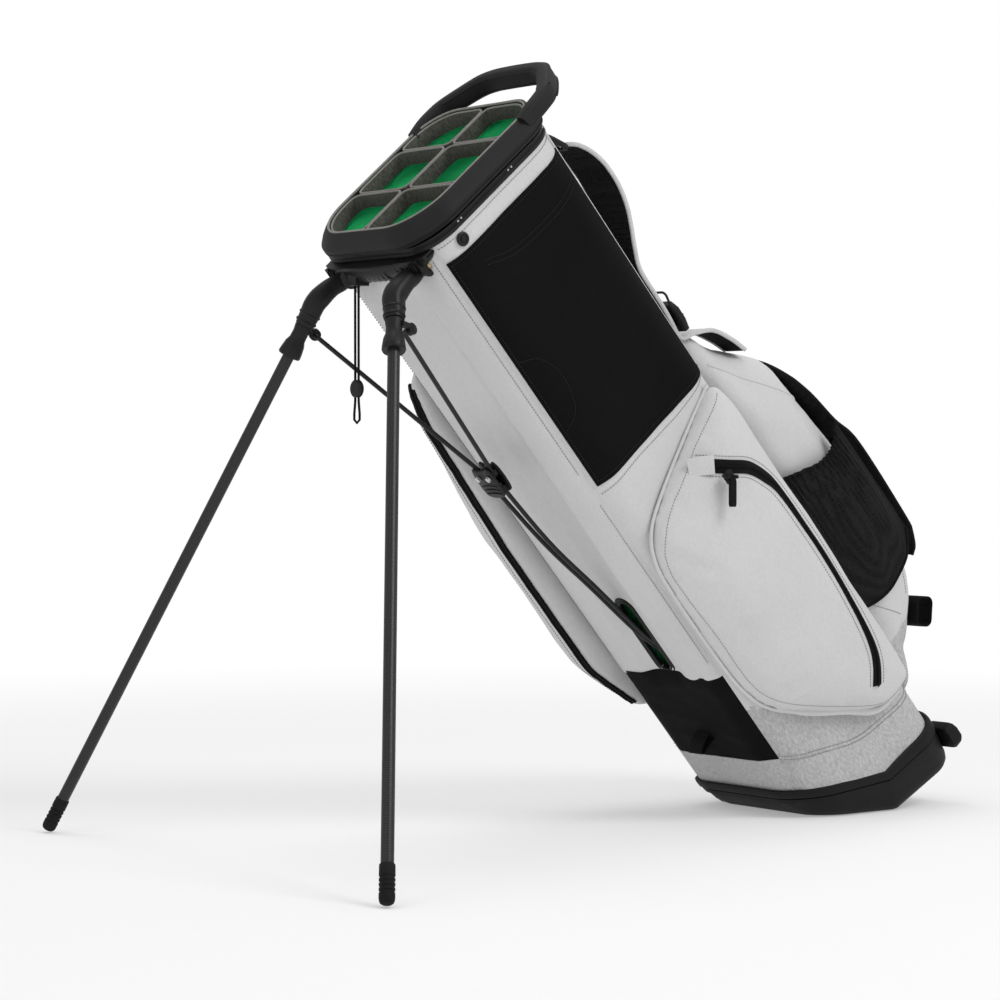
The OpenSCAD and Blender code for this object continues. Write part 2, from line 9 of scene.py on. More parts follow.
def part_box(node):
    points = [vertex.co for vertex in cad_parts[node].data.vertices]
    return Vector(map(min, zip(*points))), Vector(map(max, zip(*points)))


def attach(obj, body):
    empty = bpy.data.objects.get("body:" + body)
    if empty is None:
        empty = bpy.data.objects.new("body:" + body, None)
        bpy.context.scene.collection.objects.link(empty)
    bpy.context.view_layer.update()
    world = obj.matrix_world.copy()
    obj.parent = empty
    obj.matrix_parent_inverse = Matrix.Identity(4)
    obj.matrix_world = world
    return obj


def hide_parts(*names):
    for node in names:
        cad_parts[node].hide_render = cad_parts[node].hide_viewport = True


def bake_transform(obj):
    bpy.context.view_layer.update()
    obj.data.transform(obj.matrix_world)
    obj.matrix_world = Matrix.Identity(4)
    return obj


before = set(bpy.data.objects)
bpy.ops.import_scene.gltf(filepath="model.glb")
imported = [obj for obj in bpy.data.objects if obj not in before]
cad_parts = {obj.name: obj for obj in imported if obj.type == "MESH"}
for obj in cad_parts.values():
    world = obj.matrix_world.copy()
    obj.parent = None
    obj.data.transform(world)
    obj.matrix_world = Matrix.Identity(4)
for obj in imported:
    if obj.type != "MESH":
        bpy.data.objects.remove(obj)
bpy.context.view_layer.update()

# The bag's own frame is in millimetres: u runs to the strap side, v to the left, w up the tube.
LEAN = math.radians(41)
SOLE_X = 62.0
SOLE_Z = 8.0
COS = math.cos(LEAN)
SIN = math.sin(LEAN)


def place(points):
    """Points of the bag's frame as points of the row frame, in metres"""
    p = np.asarray(points, float)
    x = p[..., 0] * COS - p[..., 2] * SIN + SOLE_X
    z = p[..., 0] * SIN + p[..., 2] * COS + SOLE_Z
    return np.stack([x, p[..., 1], z], -1) / 1000


def bag_frame(points):
    """Points of the row frame, in metres, as points of the bag's frame"""
    p = np.asarray(points, float) * 1000
    x = p[..., 0] - SOLE_X
    z = p[..., 2] - SOLE_Z
    return np.stack([x * COS + z * SIN, p[..., 1], z * COS - x * SIN], -1)


# ---------- materials ----------
def node(tree, kind, props=None, **inputs):
    """A new shader node; an input is a number, a colour or another node's output"""
    n = tree.nodes.new("ShaderNode" + kind)
    for key, value in (props or {}).items():
        setattr(n, key, value)
    for key, value in inputs.items():
        socket = n.inputs[int(key[1:])] if key[0] == "i" and key[1:].isdigit() else n.inputs[key]
        if isinstance(value, bpy.types.NodeSocket):
            tree.links.new(value, socket)
        else:
            socket.default_value = value
    return n


def calc(tree, operation, a, b=0.0):
    return node(tree, "Math", {"operation": operation}, i0=a, i1=b).outputs[0]


def mix(tree, factor, a, b):
    return node(tree, "Mix", {"data_type": "RGBA"}, i0=factor, i6=a, i7=b).outputs[2]


def speckle(tree, where, scale, detail):
    return node(tree, "TexNoise", Vector=where, Scale=scale, Detail=detail).outputs[0]


def grey(value, tint=(1.0, 1.0, 1.0)):
    """Linear colour of an sRGB grey from 0 to 255"""
    v = (value / 255) ** 2.2
    return (v * tint[0], v * tint[1], v * tint[2], 1.0)


def material(name, roughness, metallic=0.0, specular=0.5, coat=0.0):
    """A new material, its node tree, its shader and the coordinates its pattern runs on"""
    m = bpy.data.materials.new(name)
    m.use_nodes = True
    shader = m.node_tree.nodes["Principled BSDF"]
    values = {"Roughness": roughness, "Metallic": metallic, "Specular IOR Level": specular,
              "Sheen Weight": 0.0, "Coat Weight": coat, "Coat Roughness": 0.12}
    for key, value in values.items():
        shader.inputs[key].default_value = value
    return m, m.node_tree, shader, bag_coordinates(m.node_tree)


def bag_coordinates(tree):
    """Object coordinates turned so that their axes are the bag's"""
    place_at = node(tree, "TexCoord").outputs["Object"]
    return node(tree, "Mapping", {"vector_type": "POINT"}, Vector=place_at,
                Rotation=(0.0, LEAN, 0.0)).outputs[0]


def threads(tree, where, period):
    """Height of a plain weave, from -1 to 1"""
    xyz = node(tree, "SeparateXYZ", Vector=where)
    turn = 2 * math.pi / period
    across = calc(tree, "ADD", xyz.outputs[0], xyz.outputs[1])
    a = calc(tree, "SINE", calc(tree, "MULTIPLY", across, turn))
    b = calc(tree, "SINE", calc(tree, "MULTIPLY", xyz.outputs[2], turn))
    return calc(tree, "MULTIPLY", a, b)


def finish_with(tree, shader, colour, rough, height, strength, distance):
    tree.links.new(colour, shader.inputs["Base Color"])
    tree.links.new(rough, shader.inputs["Roughness"])
    bump = node(tree, "Bump", Strength=strength, Distance=distance, Height=height)
    tree.links.new(bump.outputs[0], shader.inputs["Normal"])


def spread(tree, value, low, high):
    """value, from 0 to 1, moved to low to high"""
    return node(tree, "MapRange", Value=value, i3=low, i4=high).outputs[0]


def soft_step(tree, value, start, end, low=0.0):
    return node(tree, "MapRange", {"interpolation_type": "SMOOTHSTEP"}, Value=value, i1=start, i2=end,
                i3=low).outputs[0]


def cloth(name, dark, light, period=0.0013, heather=0.35, bump=0.35, tint=(1, 1, 1)):
    """Woven cloth: threads, flecks of yarn colour and a soft change of tone over a hand's width"""
    m, tree, shader, where = material(name, 0.85, specular=0.1)
    weave = threads(tree, where, period)
    stretched = node(tree, "Mapping", Vector=where, Scale=(1.0, 1.0, 0.35)).outputs[0]
    fleck = speckle(tree, stretched, 620.0, 3.0)
    cloud = speckle(tree, where, 9.0, 4.0)
    pick = spread(tree, fleck, 0.5 - 2.0 * heather, 0.5 + 2.0 * heather)
    tone = calc(tree, "ADD", pick, calc(tree, "MULTIPLY", weave, 0.12))
    tone = calc(tree, "ADD", tone, spread(tree, cloud, -0.45, 0.45))
    colour = mix(tree, tone, grey(dark, tint), grey(light, tint))
    rough = spread(tree, fleck, 0.72, 0.96)
    height = calc(tree, "ADD", weave, calc(tree, "MULTIPLY", fleck, 1.6))
    finish_with(tree, shader, colour, rough, height, bump, 0.0005)
    return m


def knit_mesh(name, dark, light, cell=0.0026):
    """Open spacer mesh: round holes in a raised net"""
    m, tree, shader, where = material(name, 0.8, specular=0.1)
    holes = node(tree, "TexVoronoi", {"feature": "F1"}, Vector=where, Scale=1 / cell,
                 Randomness=0.25).outputs["Distance"]
    fleck = speckle(tree, where, 400.0, 2.0)
    net = soft_step(tree, holes, 0.2, 0.5)
    tone = calc(tree, "MULTIPLY", net, spread(tree, fleck, 0.4, 1.3))
    colour = mix(tree, tone, grey(dark), grey(light))
    finish_with(tree, shader, colour, spread(tree, fleck, 0.6, 0.95), net, 0.7, 0.0009)
    return m


def moulded(name, dark, light, rough=0.5, grain=1400.0, bump=0.12, specular=0.4, tint=(1, 1, 1)):
    """Moulded plastic or rubber: fine spark texture, scuffs and a slight change of tone"""
    m, tree, shader, where = material(name, rough, specular=specular)
    fine = node(tree, "TexNoise", Vector=where, Scale=grain, Detail=2.0).outputs[0]
    scuff = node(tree, "TexNoise", Vector=where, Scale=38.0, Detail=6.0, Roughness=0.7).outputs[0]
    wear = spread(tree, scuff, -0.5, 1.5)
    colour = mix(tree, wear, grey(dark, tint), grey(light, tint))
    finish_with(tree, shader, colour, spread(tree, scuff, rough - 0.14, rough + 0.16), fine, bump, 0.0004)
    return m


def brushed(name, dark, light, rough=0.3, metallic=1.0, tint=(1, 1, 1)):
    m, tree, shader, where = material(name, rough, metallic=metallic)
    drawn = node(tree, "Mapping", Vector=where, Scale=(1.0, 1.0, 0.05)).outputs[0]
    line = speckle(tree, drawn, 2400.0, 2.0)
    spot = speckle(tree, where, 60.0, 5.0)
    colour = mix(tree, spot, grey(dark, tint), grey(light, tint))
    finish_with(tree, shader, colour, spread(tree, spot, rough - 0.1, rough + 0.15), line, 0.1, 0.0002)
    return m


def carbon(name, side):
    """Twill of carbon tows round one leg, under a clear coat"""
    m, tree, shader, _ = material(name, 0.42, specular=0.3, coat=0.15)
    start, axis = leg_line(side)
    turned = Vector(axis).to_track_quat("Z", "Y").to_euler()
    place_at = node(tree, "TexCoord").outputs["Object"]
    where = node(tree, "Mapping", {"vector_type": "TEXTURE"}, Vector=place_at,
                 Location=tuple(start), Rotation=tuple(turned)).outputs[0]
    xyz = node(tree, "SeparateXYZ", Vector=where)
    angle = calc(tree, "ARCTAN2", xyz.outputs[1], xyz.outputs[0])
    around = calc(tree, "MULTIPLY", angle, 8.0)
    length = calc(tree, "MULTIPLY", xyz.outputs[2], 8.0 / 0.006)
    warp = calc(tree, "SINE", calc(tree, "ADD", around, length))
    weft = calc(tree, "SINE", calc(tree, "SUBTRACT", around, length))
    over = calc(tree, "GREATER_THAN", calc(tree, "MULTIPLY", warp, weft), 0.0)
    fleck = speckle(tree, where, 900.0, 2.0)
    tone = calc(tree, "ADD", calc(tree, "MULTIPLY", over, 0.6), spread(tree, fleck, -0.2, 0.5))
    colour = mix(tree, tone, grey(20), grey(52))
    height = calc(tree, "ADD", over, fleck)
    finish_with(tree, shader, colour, spread(tree, tone, 0.5, 0.34), height, 0.15, 0.0002)
    return m


def ribbed(name, dark, light, period=0.0022):
    """Webbing: raised ribs across the band"""
    m, tree, shader, where = material(name, 0.75, specular=0.15)
    weave = threads(tree, where, period)
    rib = node(tree, "TexWave", {"bands_direction": "Z"}, Vector=where, Scale=260.0,
               Distortion=0.4).outputs[1]
    fleck = speckle(tree, where, 700.0, 2.0)
    colour = mix(tree, fleck, grey(dark), grey(light))
    height = calc(tree, "ADD", weave, rib)
    finish_with(tree, shader, colour, spread(tree, fleck, 0.6, 0.9), height, 0.5, 0.0006)
    return m


# ---------- shape tools ----------
def net(rows, columns, closed=True, loop=False):
    """Faces of a grid; closed joins each row's ends, loop joins the last row to the first"""
    faces = []
    for i in range(rows if loop else rows - 1):
        for j in range(columns if closed else columns - 1):
            k = (j + 1) % columns
            n = (i + 1) % rows
            faces.append((i * columns + j, i * columns + k, n * columns + k, n * columns + j))
    return faces


def loft(rings, loop=False, caps=True):
    rings = np.asarray(rings, float)
    rows, columns = rings.shape[:2]
    faces = net(rows, columns, True, loop)
    if caps and not loop:
        faces.append(tuple(range(columns)))
        faces.append(tuple(range((rows - 1) * columns, rows * columns)))
    return rings.reshape(-1, 3), faces


def slab(outer, inner):
    """Closed sheet between two grids of the same size"""
    return loft(np.concatenate([outer, inner[:, ::-1]], 1))


def slab_with_hole(outer, inner, inside):
    """Closed sheet with a hole through the cells that lie inside; the hole's edge is closed"""
    points, faces = slab(outer, inner)
    n = outer.shape[1]
    gone = inside((outer[:-1, :-1] + outer[1:, 1:]) / 2)
    front = lambda i, j: i * 2 * n + j
    rear = lambda i, j: (i + 1) * 2 * n - 1 - j
    dropped = set()
    sides = []
    for i, j in zip(*np.nonzero(gone)):
        for at in (front, rear):
            dropped.add(frozenset((at(i, j), at(i, j + 1), at(i + 1, j), at(i + 1, j + 1))))
        for di, dj, p, q in ((-1, 0, (i, j), (i, j + 1)), (1, 0, (i + 1, j), (i + 1, j + 1)),
                             (0, -1, (i, j), (i + 1, j)), (0, 1, (i, j + 1), (i + 1, j + 1))):
            if not gone[i + di, j + dj]:
                sides.append((front(*p), front(*q), rear(*q), rear(*p)))
    return points, [f for f in faces if frozenset(f) not in dropped] + sides


def join(*parts):
    points = []
    faces = []
    start = 0
    for p, f in parts:
        points.append(np.asarray(p, float))
        faces.extend(tuple(i + start for i in face) for face in f)
        start += len(p)
    return np.concatenate(points), faces


def mirrored(part):
    points, faces = part
    return points * (1, -1, 1), [face[::-1] for face in faces]


def both(part):
    return join(part, mirrored(part))


def circle(r, sides=12):
    a = np.arange(sides) * 2 * math.pi / sides
    return np.stack([r * np.cos(a), r * np.sin(a)], 1)


def rounded(width, height, r, steps=4):
    """Rounded rectangle, centred on 0"""
    points = []
    for cx, cy, a in ((1, 1, 0), (-1, 1, 90), (-1, -1, 180), (1, -1, 270)):
        for k in range(steps + 1):
            t = math.radians(a + 90 * k / steps)
            points.append((cx * (width / 2 - r) + r * math.cos(t), cy * (height / 2 - r) + r * math.sin(t)))
    return np.array(points)


def side_smooth(points, step=4.0, v=0):
    """Soft curve in the plane of the bag's side"""
    return smooth([(u, v, w) for u, w in points], step)


def flat_smooth(points, step, loop=False):
    """Soft flat curve"""
    return smooth([(a, b, 0) for a, b in points], step, loop)[:, :2]


def drum(half):
    """Profile of a turned part that is the same at both ends"""
    return half + [(r, -h) for r, h in half[::-1]]


def at_front(u, points):
    """Flat points of the front plane, at distance u"""
    return np.stack([np.full(len(points), u), points[:, 0], points[:, 1]], 1)


def at_side(points, v):
    """Flat points of the side plane, at distance v from the middle"""
    return np.stack([points[:, 0], np.broadcast_to(v, len(points)), points[:, 1]], 1)


def squared(x, power):
    return np.sign(x) * np.abs(x) ** power


def unit(vectors):
    v = np.asarray(vectors, float)
    return v / np.maximum(np.linalg.norm(v, axis=-1, keepdims=True), 1e-9)


def sweep(path, section, up=None, scale=None, loop=False):
    """A section carried along a path; its second axis stays near up"""
    path = np.asarray(path, float)
    n = len(path)
    if loop:
        ahead = unit(np.roll(path, -1, 0) - np.roll(path, 1, 0))
    else:
        ahead = unit(np.gradient(path, axis=0))
    scale = np.ones(n) if scale is None else np.asarray(scale, float)
    guide = np.array((0.3, 0.2, 1.0) if up is None else up, float)
    rings = []
    for i in range(n):
        if up is None or np.ndim(up) == 1:
            lift = guide - ahead[i] * guide.dot(ahead[i])
        else:
            lift = guide[i] - ahead[i] * guide[i].dot(ahead[i])
        lift = unit(lift)
        if up is None:
            guide = lift
        side = np.cross(ahead[i], lift)
        rings.append(path[i] + scale[i] * (section[:, :1] * side + section[:, 1:] * lift))
    return loft(rings, loop)


def smooth(points, step=4.0, loop=False):
    """Even points along a soft curve through the given ones"""
    p = np.asarray(points, float)
    if loop:
        p = np.concatenate([p[-1:], p, p[:2]])
    else:
        p = np.concatenate([2 * p[:1] - p[1:2], p, 2 * p[-1:] - p[-2:-1]])
    line = []
    for i in range(1, len(p) - 2):
        for t in np.linspace(0, 1, 16, endpoint=False):
            a = 2 * p[i] + (p[i + 1] - p[i - 1]) * t
            b = (2 * p[i - 1] - 5 * p[i] + 4 * p[i + 1] - p[i + 2]) * t * t
            c = (3 * p[i] - p[i - 1] - 3 * p[i + 1] + p[i + 2]) * t ** 3
            line.append((a + b + c) / 2)
    line.append(p[-2])
    return resample(np.array(line), step, loop)


def resample(line, step, loop=False):
    s = lengths(line)
    count = max(3, int(round(s[-1] / step)) + 1)
    at = np.linspace(0, s[-1], count, endpoint=not loop)
    return np.stack([np.interp(at, s, line[:, k]) for k in range(line.shape[1])], 1)


def lathe(profile, centre, axis, sides=32):
    """A turned shape: radius and distance along the axis for each step"""
    axis = unit(axis)
    a = unit(np.cross(axis, (0.31, 0.2, 0.93)))
    b = np.cross(axis, a)
    turn = circle(1.0, sides)
    spin = turn[:, :1] * a + turn[:, 1:] * b
    return loft([np.asarray(centre) + spin * max(r, 0.02) + axis * h for r, h in profile])


def stitches(path, pitch=3.4, length=2.3, r=0.4):
    """Separate stitches along a line"""
    line = resample(np.asarray(path, float), pitch)
    parts = []
    for a, b in zip(line[:-1], line[1:]):
        step = (b - a) * (length / pitch)
        parts.append(sweep([a, a + step * 0.2, a + step * 0.8, a + step], circle(r, 5),
                           scale=(0.3, 1, 1, 0.3)))
    return join(*parts)


def folds(points, sizes, height, seed=0.0):
    """Uneven height of wrinkles, which are longer along the axes with the larger size"""
    sizes = np.asarray(sizes, float)
    flat = points.reshape(-1, 3) / sizes
    out = [noise.noise(Vector(p) + Vector((seed, 2 * seed, -seed))) for p in flat]
    return np.array(out).reshape(points.shape[:-1]) * height


def build(name, part, look, stands_for="", body="bag", sharp=38):
    """A piece of the model: its mesh, finish, body and the CAD node it stands for"""
    points, faces = part
    data = bpy.data.meshes.new(name)
    data.from_pydata(place(points).tolist(), [], faces)
    tidy_mesh(data, sharp)
    obj = bpy.data.objects.new(name, data)
    bpy.context.collection.objects.link(obj)
    data.materials.append(look)
    if stands_for:
        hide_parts(stands_for)
    if body:
        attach(obj, body)
    return obj


def leg_piece(side, name, part, look, node_name):
    """A piece of one leg; the part is drawn on the left"""
    word = "left" if side > 0 else "right"
    build(name % word, handed(part, side), look, node_name % word, "leg_" + word)


def handed(part, side):
    """A part drawn on the left, on the side that is asked for"""
    return part if side > 0 else mirrored(part)


def tidy_mesh(data, sharp):
    bm = bmesh.new()
    bm.from_mesh(data)
    bmesh.ops.remove_doubles(bm, verts=bm.verts, dist=1e-5)
    bmesh.ops.dissolve_degenerate(bm, dist=1e-6, edges=bm.edges)
    bmesh.ops.recalc_face_normals(bm, faces=bm.faces)
    bm.to_mesh(data)
    bm.free()
    data.shade_smooth()
    data.set_sharp_from_angle(angle=math.radians(sharp))


def bake(obj):
    """Makes the result of the modifiers the mesh itself"""
    graph = bpy.context.evaluated_depsgraph_get()
    data = bpy.data.meshes.new_from_object(obj.evaluated_get(graph), depsgraph=graph)
    obj.modifiers.clear()
    obj.data = data
    return obj


def puff(obj, held, cap, pressure=4.0, voxel=5.5):
    """Inflates a closed shape as cloth; held picks the points that are sewn down"""
    remesh = obj.modifiers.new("Remesh", "REMESH")
    remesh.mode = "VOXEL"
    remesh.voxel_size = voxel / 1000
    bake(obj)
    rest = np.array([v.co for v in obj.data.vertices])
    group = obj.vertex_groups.new(name="held")
    pinned = np.nonzero(held(bag_frame(rest)))[0]
    group.add([int(i) for i in pinned], 1.0, "REPLACE")
    sim = obj.modifiers.new("Cloth", "CLOTH")
    sim.settings.quality = 5
    sim.settings.mass = 0.3
    sim.settings.use_pressure = True
    sim.settings.uniform_pressure_force = pressure
    sim.settings.vertex_group_mass = "held"
    sim.settings.effector_weights.gravity = 0.0
    sim.point_cache.frame_start = 1
    sim.point_cache.frame_end = CLOTH_FRAMES
    for f in range(1, CLOTH_FRAMES + 1):
        bpy.context.scene.frame_set(f)
    bake(obj)
    bpy.context.scene.frame_set(1)
    obj.vertex_groups.clear()
    moved = np.array([v.co for v in obj.data.vertices])
    step = moved - rest
    size = np.linalg.norm(step, axis=1, keepdims=True)
    step *= np.minimum(1.0, cap / 1000 / np.maximum(size, 1e-9))
    obj.data.vertices.foreach_set("co", (rest + step).ravel())
    even = obj.modifiers.new("Even", "SMOOTH")
    even.factor = 0.5
    even.iterations = 4
    finer = obj.modifiers.new("Finer", "SUBSURF")
    finer.levels = 1
    bake(obj)
    obj.data.shade_smooth()
    return obj


def wrinkle(obj, sizes, height, seed, keep=None):
    """Moves the points of a soft piece along their normals by uneven folds"""
    data = obj.data
    points = np.array([v.co for v in data.vertices])
    normals = np.array([v.normal for v in data.vertices])
    here = bag_frame(points)
    lift = folds(here, sizes, height, seed)
    if keep is not None:
        lift = lift * keep(here)
    data.vertices.foreach_set("co", (points + normals * lift[:, None] / 1000).ravel())
    data.update()


def surface(obj):
    data = obj.data
    return BVHTree.FromPolygons([v.co for v in data.vertices], [p.vertices for p in data.polygons])


def drape(tree, points, direction, lift):
    """Points of a line dropped on a surface along a direction of the bag's frame"""
    origin = place(np.zeros(3))
    way = Vector((place(direction) - origin) * 1000).normalized()
    out = []
    for p in points:
        start = Vector(place(p)) - way * 0.08
        hit = tree.ray_cast(start, way, 0.5)
        if hit[0] is not None:
            out.append(bag_frame(np.array(hit[0] - way * lift / 1000)))
        elif out:
            out.append(out[-1] + 0.01)
    return np.array(out)


# ---------- outlines of the tube, the cuff and the base ----------
def outline(x0, x1, half, front, back):
    """Closed outline from the middle of the right side, towards the back"""
    points = [(0.0, -half)]
    for cx, cy, r, a in ((x1 - back, back - half, back, -90), (x1 - back, half - back, back, 0),
                         (x0 + front, half - front, front, 90), (x0 + front, front - half, front, 180)):
        for k in range(19):
            t = math.radians(a + 5 * k)
            points.append((cx + r * math.cos(t), cy + r * math.sin(t)))
    points.append((0.0, -half))
    return np.array(points)


def ring(shape, grow=0.0):
    """Even points round an outline that is grown by some millimetres"""
    x0, x1, half, front, back = shape
    return even_ring(outline(x0 - grow, x1 + grow, half + grow, front + grow, back + grow))


def lengths(line):
    """Distance along a line at each of its points"""
    return np.concatenate([[0], np.cumsum(np.linalg.norm(np.diff(line, axis=0), axis=1))])


def even_ring(line, count=200):
    s = lengths(line)
    at = np.linspace(0, s[-1], count, endpoint=False)
    return np.stack([np.interp(at, s, line[:, k]) for k in (0, 1)], 1)


def closed(line):
    return np.concatenate([line, line[:1]])


def wrap(grid):
    """A grid whose rows end where they start"""
    return np.concatenate([grid, grid[:, :1]], 1)


def at_height(uv, w):
    return np.concatenate([uv, np.broadcast_to(w, len(uv)).reshape(-1, 1)], 1)


TUBE = (-102, 100, 97, 38, 42)
CUFF = (-111, 110, 101, 54, 50)
MOUTH = (-97, 104, 88, 50, 42)
BASE = (-107, 105, 98, 46, 44)
PANEL_TOP = 848.0
SLOT_W = 331
SLOT_HALF = 39
SLOT_RADIUS = 9.5
FRONT_EDGE = 279.0
TUBE_SIDE = 98
STRAP_V = 43
LOCK_V = 46
BUCKLE_V = 60
LEG_RADIUS = 6.0
ROD_RADIUS = 2.4
CORD_RADIUS = 0.00125
CLOTH_FRAMES = 20
FLOOR_RADIUS = 9
SKIN = outline(*TUBE)
SKIN_S = lengths(SKIN)
ROUND = SKIN_S[-1]
FRONT_SEAM = -97.0
BACK_SEAM = 106.0
SOLE_LINE = ((-112, 108), (-92, 69.4), (-8, -3.65), (98, -26.5), (112, -6))
SEAM_LINE = ((-112, 112), (0, 36), (112, 16))
RIM_LINE = ((-112, 124), (0, 48), (112, 34))


def line_at(line, u):
    return np.interp(u, [p[0] for p in line], [p[1] for p in line])


def ease(x):
    x = np.clip(x, 0, 1)
    return x * x * (3 - 2 * x)


def skin(s, w, lift=0.0):
    """Point of the tube's skin: s runs along the right side to the back, w up the tube"""
    s, w = np.broadcast_arrays(np.asarray(s, float), np.asarray(w, float))

    def at(t):
        t = t % ROUND
        return np.stack([np.interp(t, SKIN_S, SKIN[:, 0]), np.interp(t, SKIN_S, SKIN[:, 1])], -1)

    here = at(s)
    ahead = unit(at(s + 1.0) - at(s - 1.0))
    out = np.stack([ahead[..., 1], -ahead[..., 0]], -1)
    dip = 0.5 + 0.5 * np.cos(math.pi * np.clip((np.abs(here[..., 1]) - 15) / 25, 0, 1))
    reach = ease((w - 262) / 26) * ease((812 - w) / 26) * (here[..., 0] < -90)
    here = here + out * (lift - 8.0 * dip * reach)[..., None]
    return np.concatenate([here, w[..., None]], -1)


def ripple(s, flat):
    """Uneven height of the tube's cloth, which is calm at its seams, and the distance to a seam"""
    away = [np.abs((s - seam + ROUND / 2) % ROUND - ROUND / 2)
            for seam in (FRONT_SEAM, BACK_SEAM, ROUND / 2 - BACK_SEAM, ROUND / 2 - FRONT_SEAM)]
    edge = np.minimum.reduce(away)
    calm = ease(edge / 25) * (1 - (flat[..., 0] < -90) * ease((60 - np.abs(flat[..., 2] - SLOT_W)) / 20))
    return (folds(flat, (60, 60, 150), 2.2, 1.0) + folds(flat, (22, 22, 45), 0.8, 6.0)) * calm, edge


def skin_grid(s0, s1, low, high, lift=0.0, step=5.0, groove=1.6):
    """Grid over the skin with slow ripples and a shallow groove at the seams"""
    s = np.linspace(s0, s1, max(4, int(abs(s1 - s0) / step)))
    base = skin(s, 0.0)[..., 0]
    bottom = line_at(low, base) if isinstance(low, tuple) else np.full(len(s), float(low))
    t = np.linspace(0, 1, max(4, int((high - bottom.mean()) / step)))
    w = bottom[None, :] + (high - bottom[None, :]) * t[:, None]
    ss = np.broadcast_to(s[None, :], w.shape)
    wave, edge = ripple(ss, skin(ss, w))
    height = lift + wave - groove * np.exp(-((edge / 2.6) ** 2))
    return skin(ss, w, height), skin(ss, w, height - 2.4)


def skin_line(points, lift, step=4.0):
    p = smooth(np.array([(a, b, 0.0) for a, b in points]), step)
    return skin(p[:, 0], p[:, 1], lift + ripple(p[:, 0], skin(p[:, 0], p[:, 1]))[0])


# ---------- legs: where they run ----------
PIVOT = np.array((-104, 58.6, 833))
FOLD_AXIS = np.array((-0.4376, -0.8991, -0.0064))
LEG_START = np.array((-190, 89, 808))
LEG_DIR = unit((-0.7899, 0.3878, -0.4750))
EYE = np.array((-161.7, 83.5, 804.2))
CLIP_EYE = np.array((-137, 9, 598))
CLIP_AXIS = np.array((-0.9922, -0.0396, -0.1182))
LEG_LENGTH = 559.5


def leg_line(side):
    """Start and direction of one leg, in the row frame"""
    a = LEG_START * (1, side, 1)
    b = a + LEG_DIR * (1, side, 1)
    start = place(a)
    return start, unit(place(b) - start)


# ---------- finishes, from darkest to lightest sRGB grey of each ----------
fabric_light = cloth("fabric_light", 196, 211, heather=0.3, bump=0.25)
fabric_hem = cloth("fabric_hem", 164, 198, period=0.0016, heather=0.62, bump=0.4)
fabric_black = cloth("fabric_black", 15, 25, period=0.0011, heather=0.4, bump=0.25)
mesh_black = knit_mesh("mesh_black", 3, 38)
strap_cloth = cloth("strap_cloth", 186, 206, heather=0.35, bump=0.3)
zip_cloth = ribbed("zip_cloth", 14, 26, period=0.0009)
web_cloth = ribbed("web_cloth", 12, 26)
plastic = moulded("plastic_black", 14, 28, rough=0.46, specular=0.3)
cuff_rubber = moulded("cuff_soft", 25, 36, rough=0.62, grain=900.0, bump=0.2, specular=0.25)
base_rubber = moulded("base_rubber", 11, 20, rough=0.6, grain=700.0, bump=0.3, specular=0.25)
tip_rubber = moulded("tip_rubber", 18, 32, rough=0.7, grain=800.0, bump=0.3, specular=0.2)
padding = cloth("divider_padding", 66, 96, period=0.0018, heather=0.6, bump=0.5, tint=(1.06, 1.0, 0.9))
pad_piping = cloth("pad_piping", 118, 150, period=0.0012, heather=0.4, tint=(1.04, 1.0, 0.94))
green_cloth = cloth("liner_green", 150, 196, period=0.0012, heather=0.3, tint=(0.03, 1.0, 0.3))
thread_grey = ribbed("thread_grey", 120, 150, period=0.0006)
thread_dark = ribbed("thread_dark", 40, 56, period=0.0006)
rod_paint = brushed("rod_paint", 14, 26, rough=0.38, metallic=0.3)
steel = brushed("bright_steel", 175, 215, rough=0.26)
brass = brushed("brass_bolt", 150, 200, rough=0.3, tint=(1.0, 0.78, 0.5))
stay = moulded("stay_rod", 46, 66, rough=0.5)
cord_cloth = ribbed("cord_braid", 14, 26, period=0.0009)


# ---------- sewn tube ----------
BLEND_FROM = place(np.array((-102.0, 0, 281.0)))
BLEND_TO = place(np.array((-102.0 - 57.6, 0, 281.0 - 64.4)))


def two_tone(obj, low_look, boundary):
    """Gives the faces under a boundary height, a function of u and v, the second finish"""
    obj.data.materials.append(low_look)
    for face in obj.data.polygons:
        u, v, w = bag_frame(np.array(face.center))
        face.material_index = int(w < boundary(u, v))


def over_tilt(name, part, look, stands_for=""):
    """A piece that stretches between the tube and the tilting base"""
    obj = build(name, part, look, stands_for, None)
    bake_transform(obj)
    return obj


def sewn_panel(name, s0, s1, node_name):
    """A panel of the tube from the base's rim to the collar"""
    low = tuple((u, w - 5) for u, w in RIM_LINE)
    obj = over_tilt(name, slab(*skin_grid(s0, s1, low, PANEL_TOP)), fabric_light, node_name)
    two_tone(obj, fabric_hem, lambda u, v: 236 - 0.62 * (u + 100))


def tube_panels():
    """The tube's four panels; the front one has the rods' slot"""
    half = ROUND / 2
    sewn_panel("tube_right", FRONT_SEAM, BACK_SEAM, "side_panel_right")
    sewn_panel("tube_left", -BACK_SEAM - half + ROUND, -FRONT_SEAM + half, "side_panel_left")
    sewn_panel("tube_back", BACK_SEAM, half - BACK_SEAM, "spine_panel")
    outer, inner = skin_grid(half - FRONT_SEAM, ROUND + FRONT_SEAM, FRONT_EDGE, PANEL_TOP, step=4.0)

    def in_slot(p):
        return np.hypot(p[..., 1], np.maximum(np.abs(p[..., 2] - SLOT_W) - SLOT_HALF, 0)) < SLOT_RADIUS

    build("tube_front", slab_with_hole(outer, inner, in_slot), fabric_light, "front_panel")


